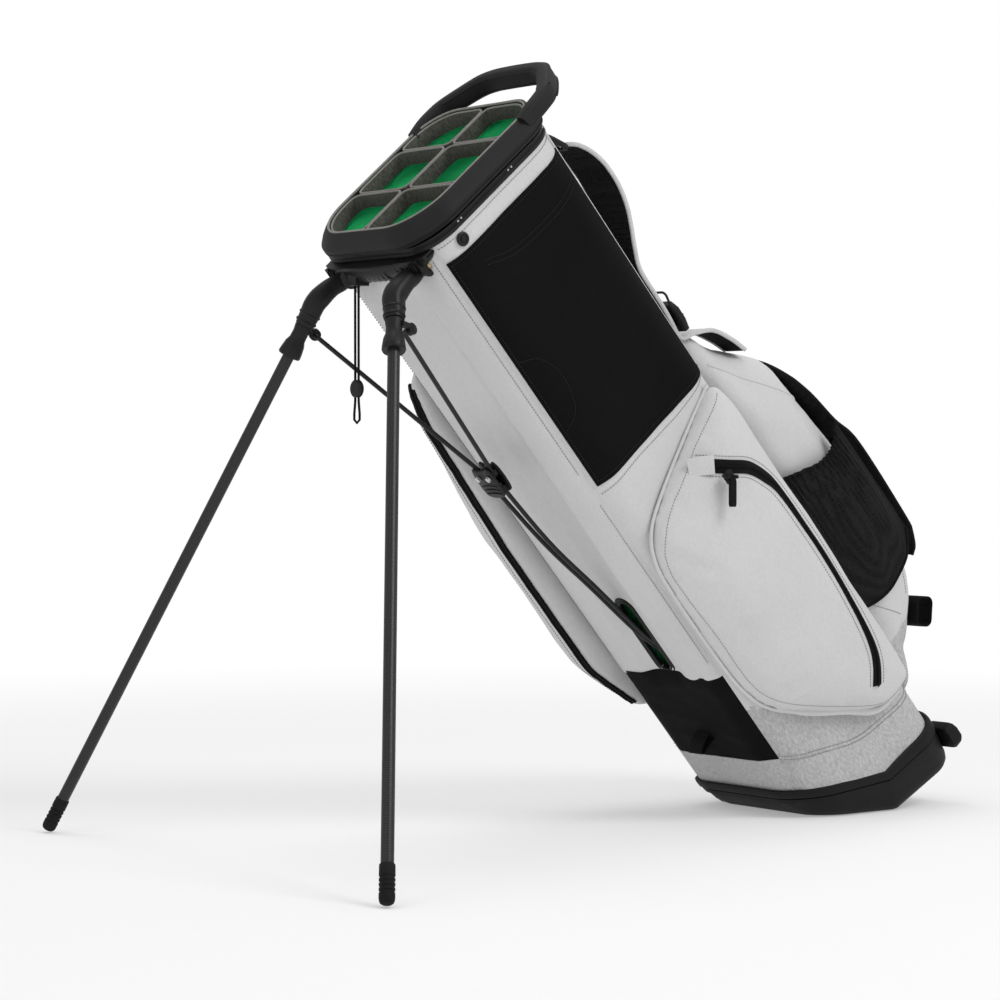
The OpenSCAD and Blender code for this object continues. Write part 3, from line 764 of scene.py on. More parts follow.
def gusset():
    """Spare black cloth at the front, crumpled while the legs are open, over the band sewn to the base"""
    s = np.linspace(ROUND / 2 - FRONT_SEAM, ROUND + FRONT_SEAM, 70)
    u = skin(s, 0.0)[..., 0]
    low = line_at(RIM_LINE, u) - 5
    edge = line_at(((-112, 168), (-30, 119), (100, 84)), u)
    t = np.linspace(0, 1, 34)

    def crumpled(w0, w1, rows, crumple, lift, seed):
        w = w0[None, :] + (w1 - w0)[None, :] * t[:rows, None] / t[rows - 1]
        ss = np.broadcast_to(s[None, :], w.shape)
        flat = skin(ss, w)
        side = ease(np.minimum(ss - s[0], s[-1] - ss) / 30)
        roll = np.sin((w - 150) / 8.5 + folds(flat, (50, 50, 60), 3.0, seed)) * crumple
        roll = (roll + folds(flat, (35, 35, 14), 2.0 * crumple, seed + 2)) * side
        height = roll + lift * side - 1.6 * (1 - side)
        return slab(skin(ss, w, height), skin(ss, w, height - 2.0))

    cloth_part = crumpled(edge - 2, np.full(len(s), 283.0), 34, 0.6, 0.5, 7.0)
    over_tilt("gusset_cloth", cloth_part, fabric_black, "lower_gusset")
    over_tilt("hem_front", crumpled(low, edge, 12, 0.2, 1.6, 8.0), fabric_hem, "hem_band")


def black_panel():
    """Flat black pocket on the upper right side, with faint topstitched lines"""
    outer, inner = skin_grid(-93, 101, 541, 826, lift=1.8, groove=0.0)
    build("panel_pocket", slab(outer, inner), fabric_black, "upper_pocket_right")
    lines = [[(-90, 822), (98, 822)], [(-90, 546), (98, 546)], [(-89, 822), (-89, 546)],
             [(-60, 806), (-20, 792), (40, 790), (90, 798)], [(-60, 800), (-20, 786), (40, 784), (90, 792)],
             [(-88, 700), (-70, 690), (-60, 660), (-68, 625), (-88, 610)]]
    build("panel_stitches", join(*[stitches(skin_line(p, 2.1)) for p in lines]), thread_dark)


def seams():
    """Piping and stitch lines of the tube"""
    route = [(110, 560), (110, 700), (108, 846)]
    up = unit(skin_line(route, 1.0) - skin_line(route, 0.0))
    build("back_piping", both(sweep(skin_line(route, 1.4), rounded(8, 3.4, 1.4), up=up)), fabric_light)
    lines = [[(-94, 531), (-40, 534), (30, 533), (96, 540)], [(-92, 843), (-30, 843), (98, 843)],
             [(-102, 520), (-102, 300)], [(-103, 838), (-103, 560)]]
    build("tube_stitches", both(join(*[stitches(skin_line(p, 0.5)) for p in lines])), thread_grey)


def hem_stitches():
    """Double line of stitching that follows the base"""
    route = [(-96, 157), (-80, 146), (-55, 131), (-18, 108), (10, 96), (60, 86), (100, 82)]
    lines = [stitches(skin_line([(a, b + k) for a, b in route], 0.7)) for k in (0, 5)]
    over_tilt("hem_stitches", both(join(*lines)), thread_grey)


# ---------- pockets ----------
def draw_in(edge, spine):
    """The nearest point of a straight spine for each point of an outline"""
    a, b = np.array(spine, float)
    k = np.clip(((edge - a) @ (b - a)) / ((b - a) @ (b - a)), 0, 1)
    return a + k[:, None] * (b - a)


def pillow(edge, spine, height, back, power, rings=16):
    """Crowned pocket over the flat outline edge, which draws in to the line spine"""
    middle = draw_in(edge, spine)
    out = []
    for f in np.linspace(1, 0.02, rings):
        g = 1 - (1 - f) ** 1.3
        out.append((middle + (edge - middle) * g, height * (1 - g ** power) ** (1 / 2.1)))
    return [(middle + (edge - middle) * 0.03, back), (edge * 1.0, back)] + out


def inflated(name, part, stands_for, held, cap, away, waves, seed):
    """A puffed and wrinkled pocket, and the surface that its trim is laid on"""
    obj = build(name, part, fabric_light, stands_for, None)
    puff(obj, held, cap)
    for k, (sizes, height) in enumerate(waves):
        wrinkle(obj, sizes, height, seed + k, away)
    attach(obj, "bag")
    return obj, surface(obj)


SIDE_POCKET = [(78, 531), (34, 516), (-38, 488), (-75, 468), (-92, 442), (-97, 405), (-97, 330), (-93, 262),
               (-74, 214), (-20, 158), (36, 112), (80, 106), (92, 130), (94, 300), (92, 470), (88, 515)]


def side_pocket():
    """Puffy zipped pocket on the right side, with its piping, flap and zip"""
    edge = flat_smooth(SIDE_POCKET, 7.0, True)
    rows = pillow(edge, ((-4, 400), (16, 200)), 33, -2.0, 3.4)
    part = loft([at_side(p, -(TUBE_SIDE + h)) for p, h in rows])
    waves = (((46, 60, 120), 3.2), ((17, 30, 46), 0.9))
    tree = inflated("side_pocket", part, "side_pocket_right", lambda p: p[:, 1] > -101, 4.0,
                    lambda p: ease((-p[:, 1] - 100) / 14), waves, 11.0)[1]
    pocket_trim(tree)
    pocket_zip(tree)


def pocket_trim(tree):
    """Piping round the pocket's left and lower edges, and the stitch line beside it"""
    edge = side_smooth(SIDE_POCKET[:13], v=-100.2)
    build("pocket_piping", sweep(edge, circle(1.9, 10)), fabric_light)
    inner = edge + unit(np.array((0, 0, 320)) - edge * (1, 0, 1)) * (9, 0, 9)
    line = drape(tree, inner * (1, 0, 1) + (0, -140, 0), (0, 1, 0), 0.3)
    build("pocket_stitches", stitches(line), thread_grey)
    flap = smooth([(-72, -101, 213), (-40, -104, 178), (-5, -105, 146), (30, -105, 113), (70, -102, 103)])
    swell = np.interp(np.linspace(0, 1, len(flap)), (0, 0.2, 0.7, 1), (0.3, 1, 1, 0.3))
    lip = sweep(flap, rounded(9, 7, 3.2), up=(0, -1, 0.3), scale=swell)
    build("pocket_flap", lip, fabric_light)


TAPE = (-1, -0.5, 0, 0.5, 1)
ZIP_ROUTE = [(2, 488), (24, 467), (45, 447), (58, 423), (65, 399), (66, 352), (64, 294), (61, 229),
             (52, 184), (32, 150)]


def zip_line(tree, shift, lift):
    """Line on the pocket beside the zip's middle"""
    route = flat_smooth(ZIP_ROUTE, 4.0)
    ahead = unit(np.gradient(route, axis=0))
    flat = route + np.stack([ahead[:, 1], -ahead[:, 0]], 1) * shift
    return drape(tree, at_side(flat, -150.0), (0, 1, 0), lift)


def toothed(line, low, high, up):
    """Coil of teeth along a line; each tooth is lifted from low at its ends to high"""
    section = rounded(3.4, 1.3, 0.5, 2)
    return join(*[sweep([p + (*low, -0.5), p + (*high, 0), p + (*low, 0.5)], section, up=up)
                  for p in resample(line, 2.0)])


def pocket_zip(tree):
    """Zip tape that is wide at the slider, with a coil of teeth, its stitch lines and the cloth garage at
    its upper end
    """
    wide = np.interp(np.linspace(0, 1, 200), (0, 0.18, 0.5, 0.8, 1), (7.5, 6.8, 4.2, 4.6, 6.4))
    line = zip_line(tree, 0.0, 1.5)
    w = np.interp(np.linspace(0, 1, len(line)), np.linspace(0, 1, 200), wide)
    side = unit(zip_line(tree, 1.0, 1.5) - line)
    rows = [line + side * (w * k)[:, None] + (0, -0.9 * (1 - k * k) + 0.5 * k * k, 0) for k in TAPE]
    outer = np.array(rows).transpose(1, 0, 2)
    build("pocket_zip", slab(outer, outer + (0, 2.6, 0)), zip_cloth, "side_zip_right")
    teeth = toothed(zip_line(tree, 0.0, 2.9), (0, 0), (0, -0.4), (0, 1, 0))
    build("pocket_teeth", teeth, zip_cloth)
    build("zip_stitches", join(*[stitches(zip_line(tree, k, 0.4)) for k in (-10.5, 10.5)]), thread_grey)
    end = smooth([(-8, -116, 492), (2, -124, 487), (12, -130, 480)], 3.0)
    build("zip_garage", sweep(end, rounded(20, 2.4, 1.1), up=(0, -1, 0)), fabric_light)


def pull_tab():
    """Cloth pull on its slider"""
    low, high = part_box("zip_pull")
    top = Vector(((low.x + high.x) / 2, (low.y + high.y) / 2, high.z - 0.0022))
    path = [top + Vector((0, 0, -z)) for z in (0.0015, 0.005, 0.012, 0.02, 0.028, 0.0305)]
    points = [bag_frame(np.array(p)) for p in path]
    out = bag_frame(np.array(top + Vector((0, -0.1, 0)))) - bag_frame(np.array(top))
    tab = sweep(points, rounded(9.5, 3.0, 1.2), up=out, scale=(0.8, 1, 1, 1, 1, 0.8))
    collar = lathe([(0, -4.2), (2.0, -4.2), (2.3, -3.6), (2.3, 3.6), (2.0, 4.2), (0, 4.2)],
                   bag_frame(np.array(top)), (COS, 0, -SIN), 20)
    build("pull_tab", join(tab, collar), web_cloth, "zip_pull", "zip_pull")


def rear_pocket():
    """Ball pouch at the back, the seam across its side, and the cloth panel under it"""
    profile = [(101, 552), (150, 512), (188, 474), (204, 405), (213, 330), (218, 215), (204, 162),
               (189, 137), (164, 111), (146, 95), (101, 89)]
    edge = np.maximum(flat_smooth(profile, 7.0, True), (101, 0))
    centre = draw_in(edge, ((142, 400), (150, 230)))
    rings = []
    for f, v in ((0.02, 68), (0.35, 67.5), (0.7, 66), (0.86, 63), (0.95, 57), (1, 48), (1, 24), (1, 0)):
        rings.append(at_side(centre + (edge - centre) * f, -v))
    rings += [r * (1, -1, 1) for r in rings[-2::-1]]
    waves = (((60, 45, 70), 3.4), ((20, 18, 26), 0.9))
    obj, tree = inflated("ball_pouch", loft(rings), "rear_pouch", lambda p: p[:, 0] < 106, 6.0,
                         lambda p: ease((p[:, 0] - 106) / 22), waves, 21.0)
    two_tone(obj, fabric_hem, lambda u, v: 128)

    def laid(points, lift):
        route = side_smooth(points)
        return [drape(tree, route + (0, 150 * side, 0), (0, -side, 0), lift) for side in (-1, 1)]

    seam = laid([(116, 527), (150, 478), (180, 436), (197, 411)], -0.2)
    build("pouch_piping", join(*[sweep(line, circle(1.3, 8)) for line in seam]), fabric_light)
    lines = laid([(118, 186), (136, 160), (150, 140)], 0.4) + laid([(196, 200), (172, 150)], 0.4)
    build("pouch_stitches", join(*[stitches(p) for p in lines if len(p) > 3]), thread_grey)


def mesh_pocket():
    """Gathered mesh bottle pocket: pleats run down from its elastic mouth"""
    k = np.linspace(0, 1, 90)

    def even(points):
        line = resample(side_smooth(points, 3.0), 1.0)
        return np.stack([np.interp(k, np.linspace(0, 1, len(line)), line[:, i]) for i in (0, 2)], 1)

    a = even([(101, 378), (134, 364), (162, 354), (185, 356), (206, 372)])
    b = even([(101, 192), (128, 183), (156, 182), (190, 192), (212, 214)])
    arch = np.sin(math.pi * np.clip(k, 0.02, 0.98)) ** 0.45
    rows = []
    for t in np.linspace(0, 1, 46):
        belly = 15 * math.sin(math.pi * min(1, t * 0.8 + 0.12)) ** 0.7
        pleat = np.sin(k * 88 + 5 * np.sin(k * 9)) * 1.5 * math.exp(-t * 3.4)
        pleat = pleat + np.sin(k * 17 + 1.5 * t) * 1.6 * math.exp(-((t - 0.45) ** 2) * 5)
        rows.append(at_side(a * (1 - t) + b * t, -(75.5 + belly * arch + pleat)))
    outer = np.array(rows)
    build("bottle_pocket", slab(outer, outer + (0, 1.8, 0)), mesh_black, "mesh_pocket")
    hems = [sweep(outer[i] - (0, 0.3, 0), circle(r, 8)) for i, r in ((0, 2.0), (-1, 1.5))]
    build("bottle_pocket_elastic", join(*hems), web_cloth)


def outward(route):
    """Directions that point away from the bag along a route in the side plane"""
    ahead = unit(np.gradient(route, axis=0))
    out = np.stack([ahead[:, 2], ahead[:, 1] * 0, -ahead[:, 0]], 1)
    return out * np.where(out[:, :1] < 0, -1, 1)


def hip_pad():
    """Quilted mesh pad on the pouch, with a bound edge"""
    route = side_smooth([(150, 505), (186, 470), (209, 415), (220, 362), (231, 321), (232, 226), (229, 176),
                         (221, 163)])
    n = len(route)
    t = np.linspace(0, 1, n)
    half = np.interp(t, (0, 0.06, 0.25, 0.9, 1), (34, 46, 58, 58, 46))
    thick = np.interp(t, (0, 0.05, 0.3, 0.93, 1), (2.0, 5.0, 9.0, 9.0, 4.0))
    quilt = 1 - 0.28 * np.exp(-((np.arange(n) % 14 - 7.0) ** 2) / 2.2)
    out = outward(route)
    a = np.linspace(0, 2 * math.pi, 48, endpoint=False)
    rings = []
    for i in range(n):
        wide = squared(np.cos(a), 0.35) * half[i]
        deep = squared(np.sin(a), 0.6) * thick[i] * quilt[i] / 2
        rings.append(route[i] + out[i] * deep[:, None] + np.array((0, 1, 0)) * wide[:, None])
    build("hip_pad_mesh", loft(rings), mesh_black, "hip_pad")
    side = route + np.stack([t * 0, half, t * 0], 1)
    build("hip_pad_binding", both(sweep(side, circle(2.4, 8))), web_cloth)


def webbing(path, width, thick, corner, loop=False):
    """Flat band of webbing along a path, as wide as the bag's v"""
    return sweep(path, rounded(width, thick, corner, 2)[:, ::-1], up=(0, 1, 0), loop=loop)


def loops_and_tabs():
    """Webbing loop under the pouch and the small tab at the front"""
    c = math.cos(math.radians(45))
    path = [(180 + (x - y + 7) * c, -48, 116 + (x + y - 7) * c) for x, y in rounded(32, 22, 7, 5)]
    build("rear_web_loop", webbing(path, 24, 2.0, 0.8, True), web_cloth, "rear_loop")
    tab = [(-101, 198), (-112, 196), (-121, 192), (-125, 189), (-121, 187), (-111, 188), (-101, 189)]
    build("gusset_tab", webbing(side_smooth(tab, 1.5), 22, 1.6, 0.6), web_cloth, "front_tab")


def left_pocket():
    """Long clothing pocket on the left side with its zip"""
    sections = [(196, 100, 60, -60), (215, 122, 106, -98), (300, 141, 136, -122), (480, 143, 138, -121),
                (640, 131, 126, -112), (692, 114, 104, -101), (708, 101, 70, -70)]
    heights = np.array([s[0] for s in sections], float)
    rings = []
    for w in np.linspace(196, 708, 44):
        outer, front, nose = (np.interp(w, heights, [s[k] for s in sections]) for k in (1, 2, 3))
        corner = np.array([(86, 98.2), (84, outer - 12), (72, outer), (20, outer + 1), (-35, outer),
                           (nose + 14, front), (nose, front - 18), (nose + 1, 89), (-88, 88), (-60, 98.2),
                           (0, 98.2)])
        rings.append(at_height(even_ring(closed(flat_smooth(corner, 5.0, True)), 90), w))
    waves = (((60, 70, 110), 3.0), ((20, 26, 40), 0.8))
    tree = inflated("clothing_pocket", loft(rings), "apparel_pocket_left",
                    lambda p: (p[:, 1] < 99.5) & (p[:, 0] > -100), 3.0, lambda p: ease((p[:, 1] - 104) / 16),
                    waves, 31.0)[1]
    route = smooth([(-250, 97, 684), (-250, 95, 600), (-250, 95, 480), (-250, 95, 300), (-250, 93, 232)])
    line = drape(tree, route, (1, 0, 0), 0.8)
    tape = np.array([line + (-0.8 * (1 - k * k), k * 5.5, 0) for k in TAPE]).transpose(1, 0, 2)
    build("clothing_zip", slab(tape, tape + (2.8, 0, 0)), zip_cloth, "apparel_zip_left")
    build("clothing_teeth", toothed(line, (-1.0, 0), (-1.4, 0), (-1, 0, 0)), zip_cloth)
    build("clothing_stitches", stitches(drape(tree, route + (0, 9, 0), (1, 0, 0), 0.4)), thread_grey)


# ---------- top ----------
def cuff():
    """Thick flared ring round the mouth, with a rolled rim, and the collar under it"""
    mouth = ring(MOUTH)
    flare = ring(CUFF) - mouth
    steps = ((0, 0, 858.6), (0, 0, 878), (0, 0.5, 879.4), (0, 1.8, 880.2), (0, 3.4, 880.0),
             (0.3, 1.6, 877.6), (0.62, 0.8, 873.6), (1, -1.2, 868.2), (1, -0.3, 867), (1, 0, 865.6),
             (1, 0, 863.4), (1, -0.9, 862.8), (1, -0.9, 862), (1, 0, 861.4), (1, -0.4, 859.4),
             (1, -1.6, 858.6), (0.4, 0, 858.6))
    rows = [at_height(mouth + flare * f + unit(flare) * grow, w) for f, grow, w in steps]
    build("cuff", loft(rows, loop=True), cuff_rubber, "cuff_ring", sharp=50)
    steps = ((-3, 848.4), (2.2, 848.4), (3.4, 849.6), (3.4, 852.4), (2.2, 853.4), (2.2, 854.6), (3.4, 855.6),
             (3.4, 857.6), (-3, 857.9))
    build("collar", loft([at_height(ring(TUBE, g), w) for g, w in steps], loop=True), plastic, "collar_band")
    head = [(0, 0), (1.3, 0), (1.2, 0.7), (0.7, 1.1), (0, 1.1)]
    half = ROUND / 2
    places = (-60, -55, 20, 25, 92, 97, half - 97, half - 92, half - 25, half + 60)
    rivets = [lathe(head, skin(s, 854, 2.0), skin_up_at(s), 12) for s in places]
    build("collar_rivets", join(*rivets), steel)


def skin_up_at(s):
    return unit(skin(s, 852.0, 1.0) - skin(s, 852.0, 0.0))


def handle():
    """Moulded lift handle: a soft D-shaped bar"""
    half = [(70, -91, 872), (86, -91, 875), (101, -90, 876), (116, -86, 876.5), (134, -71, 877),
            (149, -55, 877.5), (155, -40, 877.5), (156, -20, 878)]
    route = smooth(half + [(u, -v, w) for u, v, w in half[::-1]])
    swell = 1 + 0.06 * np.cos(np.linspace(-math.pi, math.pi, len(route)))
    grip = sweep(route, rounded(15, 21, 5, 5), up=(0, 0, 1), scale=swell)
    lines = [sweep(route[12:-12] + (0, 0, side * 7.6), rounded(16.6, 1.2, 0.5, 2), up=(0, 0, 1))
             for side in (-1, 1)]
    build("handle_grip", join(grip, *lines), cuff_rubber, "lift_handle")


def well_outline(u0, u1, v0, v1):
    """Rounded outline of one club well, inside the mouth and between its dividers"""
    x0, x1, half, front, back = MOUTH
    limit = outline(x0 + 2.8, x1 - 2.8, half - 2.8, front - 2.8, back - 2.8)
    centre = np.array(((u0 + u1) / 2, (v0 + v1) / 2))
    a = np.linspace(0, 2 * math.pi, 240, endpoint=False)
    way = np.stack([np.cos(a), np.sin(a)], 1)
    far = np.full(len(a), 400.0)
    for k, (low, high) in enumerate(((u0, u1), (v0, v1))):
        far = np.minimum(far, (high - low) / 2 / np.maximum(np.abs(way[:, k]), 1e-6))
    p = limit[:-1] - centre
    q = limit[1:] - centre
    for i, d in enumerate(way):
        cross_p = p[:, 0] * d[1] - p[:, 1] * d[0]
        cross_q = q[:, 0] * d[1] - q[:, 1] * d[0]
        hit = (cross_p * cross_q <= 0) & (((p + q) @ d) > 0) & (np.abs(cross_p - cross_q) > 1e-9)
        for m in np.nonzero(hit)[0]:
            t = cross_p[m] / (cross_p[m] - cross_q[m])
            far[i] = min(far[i], float((p[m] + (q[m] - p[m]) * t) @ d))
    line = centre + way * far[:, None]
    line = even_ring(closed(line), 120)
    for _ in range(14):
        line = (line * 2 + np.roll(line, 1, 0) + np.roll(line, -1, 0)) / 4
    return line


WELL_U = ((-96, -31.5), (-26.5, 39.5), (44.5, 102))


def padded_well(line, out, seed):
    """Soft padded sleeve of one well"""
    soft = folds(at_height(line, 0), (24, 24, 10), 0.7, seed)[:, None]
    rows = [(2.2, 861), (-0.2, 861), (-0.6, 864), (-0.4, 868), (-0.1, 874), (0.7, 876.6), (1.6, 877.2),
            (2.3, 876), (2.4, 866)]
    return loft([at_height(line + out * (g + soft * (g < 0)), w) for g, w in rows], loop=True)


def cloth_well(line, out, seed):
    """Creased green cloth that lines one well"""
    rows = []
    for w in (862.4, 860, 855, 849, 842, 834, 825, 815, 804, 792):
        bulge = 2.6 * math.sin(math.pi * min(1.0, (864 - w) / 44)) + 0.6
        crease = folds(at_height(line, w), (11, 11, 16), 5.0, seed) * ease((862 - w) / 8)
        rows.append(at_height(line - out * (bulge + crease)[:, None], w))
    tube = np.array(rows)
    return slab(wrap(tube), wrap(tube + at_height(out, 0) * 0.8))


def top_dividers():
    """Six padded wells, each with a piped edge"""
    sleeves = []
    pipes = []
    bags = []
    for u0, u1 in WELL_U:
        for v0, v1 in ((-87, -2.5), (2.5, 87)):
            line = well_outline(u0, u1, v0, v1)
            ahead = unit(np.roll(line, -1, 0) - np.roll(line, 1, 0))
            out = np.stack([ahead[:, 1], -ahead[:, 0]], 1)
            sleeves.append(padded_well(line, out, u0))
            pipes.append(sweep(at_height(line + out * 1.1, 877.6), circle(1.15, 8), up=(0, 0, 1), loop=True))
            bags.append(cloth_well(line, out, u0 + v0))
    build("well_lining", join(*bags), green_cloth, sharp=60)
    build("well_padding", join(*sleeves), padding, "divider_top", sharp=60)
    build("well_piping", join(*pipes), pad_piping)
    edge = sweep(at_height(ring(MOUTH, 0.6), 880.0), circle(1.3, 8), up=(0, 0, 1), loop=True)
    build("mouth_piping", edge, pad_piping)


def lining():
    """Green sleeve inside the tube and the three cloth dividers"""
    rows = []
    uv = ring((-91, 89, 86, 27, 31))
    low = line_at(((-112, 158), (0, 100), (60, 122), (112, 122)), uv[:, 0])
    front = ease((-uv[:, 0] - 72) / 10) * ease((60 - np.abs(uv[:, 1])) / 12)
    for t in np.linspace(0, 1, 60):
        points = at_height(uv, low + (846 - low) * t)
        soft = folds(points, (26, 26, 70), 3.0, 41.0) - 1.2
        channel = ease((26 - np.abs(uv[:, 1])) / 10) * ease((424 - points[:, 2]) / 12) * (uv[:, 0] < -60)
        depth = 0.6 - np.minimum(soft, 0) + front * 9 + channel * 17
        rows.append(points + unit(points * (0, 0, 1) - points) * depth[:, None])
    sleeve = np.array(rows)
    inner_side = sleeve + unit(sleeve * (0, 0, 1) - sleeve) * 0.8
    build("lining_sleeve", slab(wrap(sleeve), wrap(inner_side)), green_cloth, "liner_sleeve")
    hang_sheet("divider_sheet_long", (-68, 0), (86, 0), 66.0)
    hang_sheet("divider_sheet_front", (-29, -82), (-29, 82), 71.0)
    hang_sheet("divider_sheet_back", (42, -82), (42, 82), 76.0)


def hang_sheet(name, a, b, seed):
    """One full-length cloth divider, a little slack"""
    a, b = np.array((a, b), float)
    width = float(np.linalg.norm(b - a))
    t = np.linspace(0, 1, 48)
    w = np.linspace(150, 845, 90)
    line = a + (b - a) * t[:, None]
    grid = np.array([at_height(line, h) for h in w])
    off = np.array((b[1] - a[1], a[0] - b[0], 0.0)) / width
    sway = folds(grid, (34, 34, 80), 4.0, seed) * ease(np.minimum(t, 1 - t) / 0.12)[None, :]
    sway = sway * ease((845 - grid[..., 2]) / 40)
    grid = grid + off * sway[..., None]
    obj = build(name, slab(grid, grid + off * 1.0), green_cloth, "divider_sheets")


def snap_buttons():
    """Snap fasteners for a rain hood"""
    cap = [(0, 0), (6.6, 0), (7.2, 0.8), (7.0, 1.8), (6.0, 2.4), (4.6, 2.5), (4.2, 1.9), (3.0, 1.9),
           (2.6, 2.8), (1.4, 3.2), (0, 3.2)]
    part = both(lathe(cap, skin(-66.0, 837.0, 0.4), skin_up_at(-66.0)))
    build("rain_snaps", part, plastic, "snap_buttons")


# ---------- leg hub, legs and rods ----------
def hub_barrel():
    """Half-barrel between the pivots"""
    rings = []
    for v in np.linspace(-43, 43, 24):
        k = abs(v) / 43
        low = 825.5 + 6.0 * k ** 2.5
        nose = -118.5 + 3.5 * k ** 2
        line = flat_smooth([(-95, 847.4), (nose + 3, 847.4), (nose, 844), (nose + 0.8, 836),
                            (nose + 5, low + 3), (-106, low), (-98, low + 1), (-95, low + 6)], 2.0, True)
        rings.append(at_side(even_ring(closed(line), 40), v))
    return loft(rings)


def hub():
    """Half-barrel bracket under the cuff with rounded ends round the two pivots"""
    fins = []
    for v in np.linspace(-24, 24, 7):
        path = [(-117, v, 841), (-116.2, v, 834), (-111.5, v, 828.6), (-105, v, 826.4), (-99, v, 828)]
        fins.append(sweep(path, rounded(3.0, 2.4, 0.8, 2), up=(-1, 0, -0.4)))
    wing = []
    for v, tall, nose in ((42, 0.75, -115), (52, 0.95, -114), (62, 1.0, -113), (72, 0.95, -110),
                          (80, 0.8, -106), (84.5, 0.5, -102)):
        profile = rounded(-92 - nose, 12 * tall, 3.5, 4) + ((nose - 92) / 2, 847.6 - 6 * tall)
        wing.append(at_side(profile, v))
    slots = [sweep([(-114.6, 66 + k, 838), (-113.8, 66 + k, 845.5)], rounded(1.6, 2.0, 0.6, 2), up=(1, 0, 0))
             for k in (0, 4, 8)]
    build("hub_barrel", join(hub_barrel(), *fins, both(join(loft(wing), *slots))), plastic)
    disc = [(0, -2.9), (9.6, -2.9), (11.4, -1.6), (11.9, 0), (11.4, 1.6), (9.6, 2.9), (0, 2.9)]
    cheeks = [lathe(disc, PIVOT + FOLD_AXIS * d, FOLD_AXIS, 40) for d in (-12.0, 12.2)]
    build("hub_cheeks", both(join(*cheeks)), plastic)


def bolts():
    """Domed caps on both ends of the pivot bolts"""
    head = [(0, 0), (5.0, 0), (5.0, 1.4), (4.2, 2.6), (2.6, 3.2), (2.3, 2.2), (0, 2.2)]
    left = lathe(head, PIVOT + FOLD_AXIS * 15.2, FOLD_AXIS, 28)
    right = lathe(head, PIVOT - FOLD_AXIS * 15.0, -FOLD_AXIS, 28)
    build("pivot_caps", both(join(left, right)), brass)


def elbow(side):
    """Thick goose-neck that turns from the bolt to the leg"""
    bend = LEG_START - LEG_DIR * 56
    route = smooth([PIVOT + (0, 0, 0), PIVOT * 0.72 + bend * 0.28 + (1, 0, -1.0),
                    PIVOT * 0.4 + bend * 0.6 + (1.2, 0.6, 1.0), bend + LEG_DIR * 2, bend + LEG_DIR * 16,
                    bend + LEG_DIR * 28], 2.0)
    size = np.interp(np.linspace(0, 1, len(route)), (0, 0.3, 0.55, 0.75, 1), (8.6, 9.6, 11.0, 10.6, 9.4))
    arm = sweep(route, rounded(2, 2, 0.82, 6), scale=size)
    barrel = lathe(drum([(0, -8.9), (8.4, -8.9), (9.4, -8.0)]), PIVOT, FOLD_AXIS, 40)
    bands = [lathe([(8.5, -1.6), (r, -1.2), (r + 0.5, 0), (r, 1.2), (8.5, 1.6)], bend + LEG_DIR * d, LEG_DIR)
             for d, r in ((16, 10.9), (24, 10.6))]
    leg_piece(side, "leg_elbow_%s", join(arm, barrel, *bands), plastic, "elbow_%s")


def yoke(side):
    """Wedge collar on the leg with the eye of the stay rod"""
    profile = [(6.2, -27.6), (8.6, -27.6), (9.0, -26), (8.0, -20), (8.2, -12), (10.2, -7), (11.4, 1),
               (11.8, 5), (11.0, 6.6), (6.2, 6.6)]
    collar = lathe(profile, LEG_START, LEG_DIR, 32)
    eye = lathe(drum([(3.0, -3.4), (5.2, -3.4), (6.0, -2.6)]), EYE, FOLD_AXIS, 28)
    path = [EYE + (-0.5, 0.2, 3.6), EYE + (-3, 1.4, 7), EYE + (-7.2, 3.4, 13)]
    arm = sweep(path, rounded(6.0, 6.6, 1.8), up=FOLD_AXIS)
    leg_piece(side, "leg_collar_%s", join(collar, eye, arm), plastic, "rod_yoke_%s")


def leg(side):
    """Carbon tube with its rubber foot"""
    a = LEG_START - LEG_DIR * 45
    b = LEG_START + LEG_DIR * (LEG_LENGTH - 12)
    tube = sweep([a + (b - a) * k for k in np.linspace(0, 1, 40)], circle(LEG_RADIUS, 32))
    twill = carbon("carbon_left" if side > 0 else "carbon_right", side)
    leg_piece(side, "leg_%s_tube", tube, twill, "leg_tube_%s")
    steps = [(0, -37), (6.4, -37), (7.2, -36), (7.3, -28)]
    for k in range(4):
        h = -26 + 4.4 * k
        steps += [(7.3, h), (6.5, h + 0.8), (6.5, h + 1.8), (7.3, h + 2.6)]
    steps += [(7.3, -6), (7.0, -3.4), (6.2, -1.4), (4.6, -0.2), (0, 0.0)]
    foot = lathe(steps, LEG_START + LEG_DIR * (LEG_LENGTH - 0.3), LEG_DIR, 32)
    leg_piece(side, "leg_%s_foot", foot, tip_rubber, "leg_tip_%s")


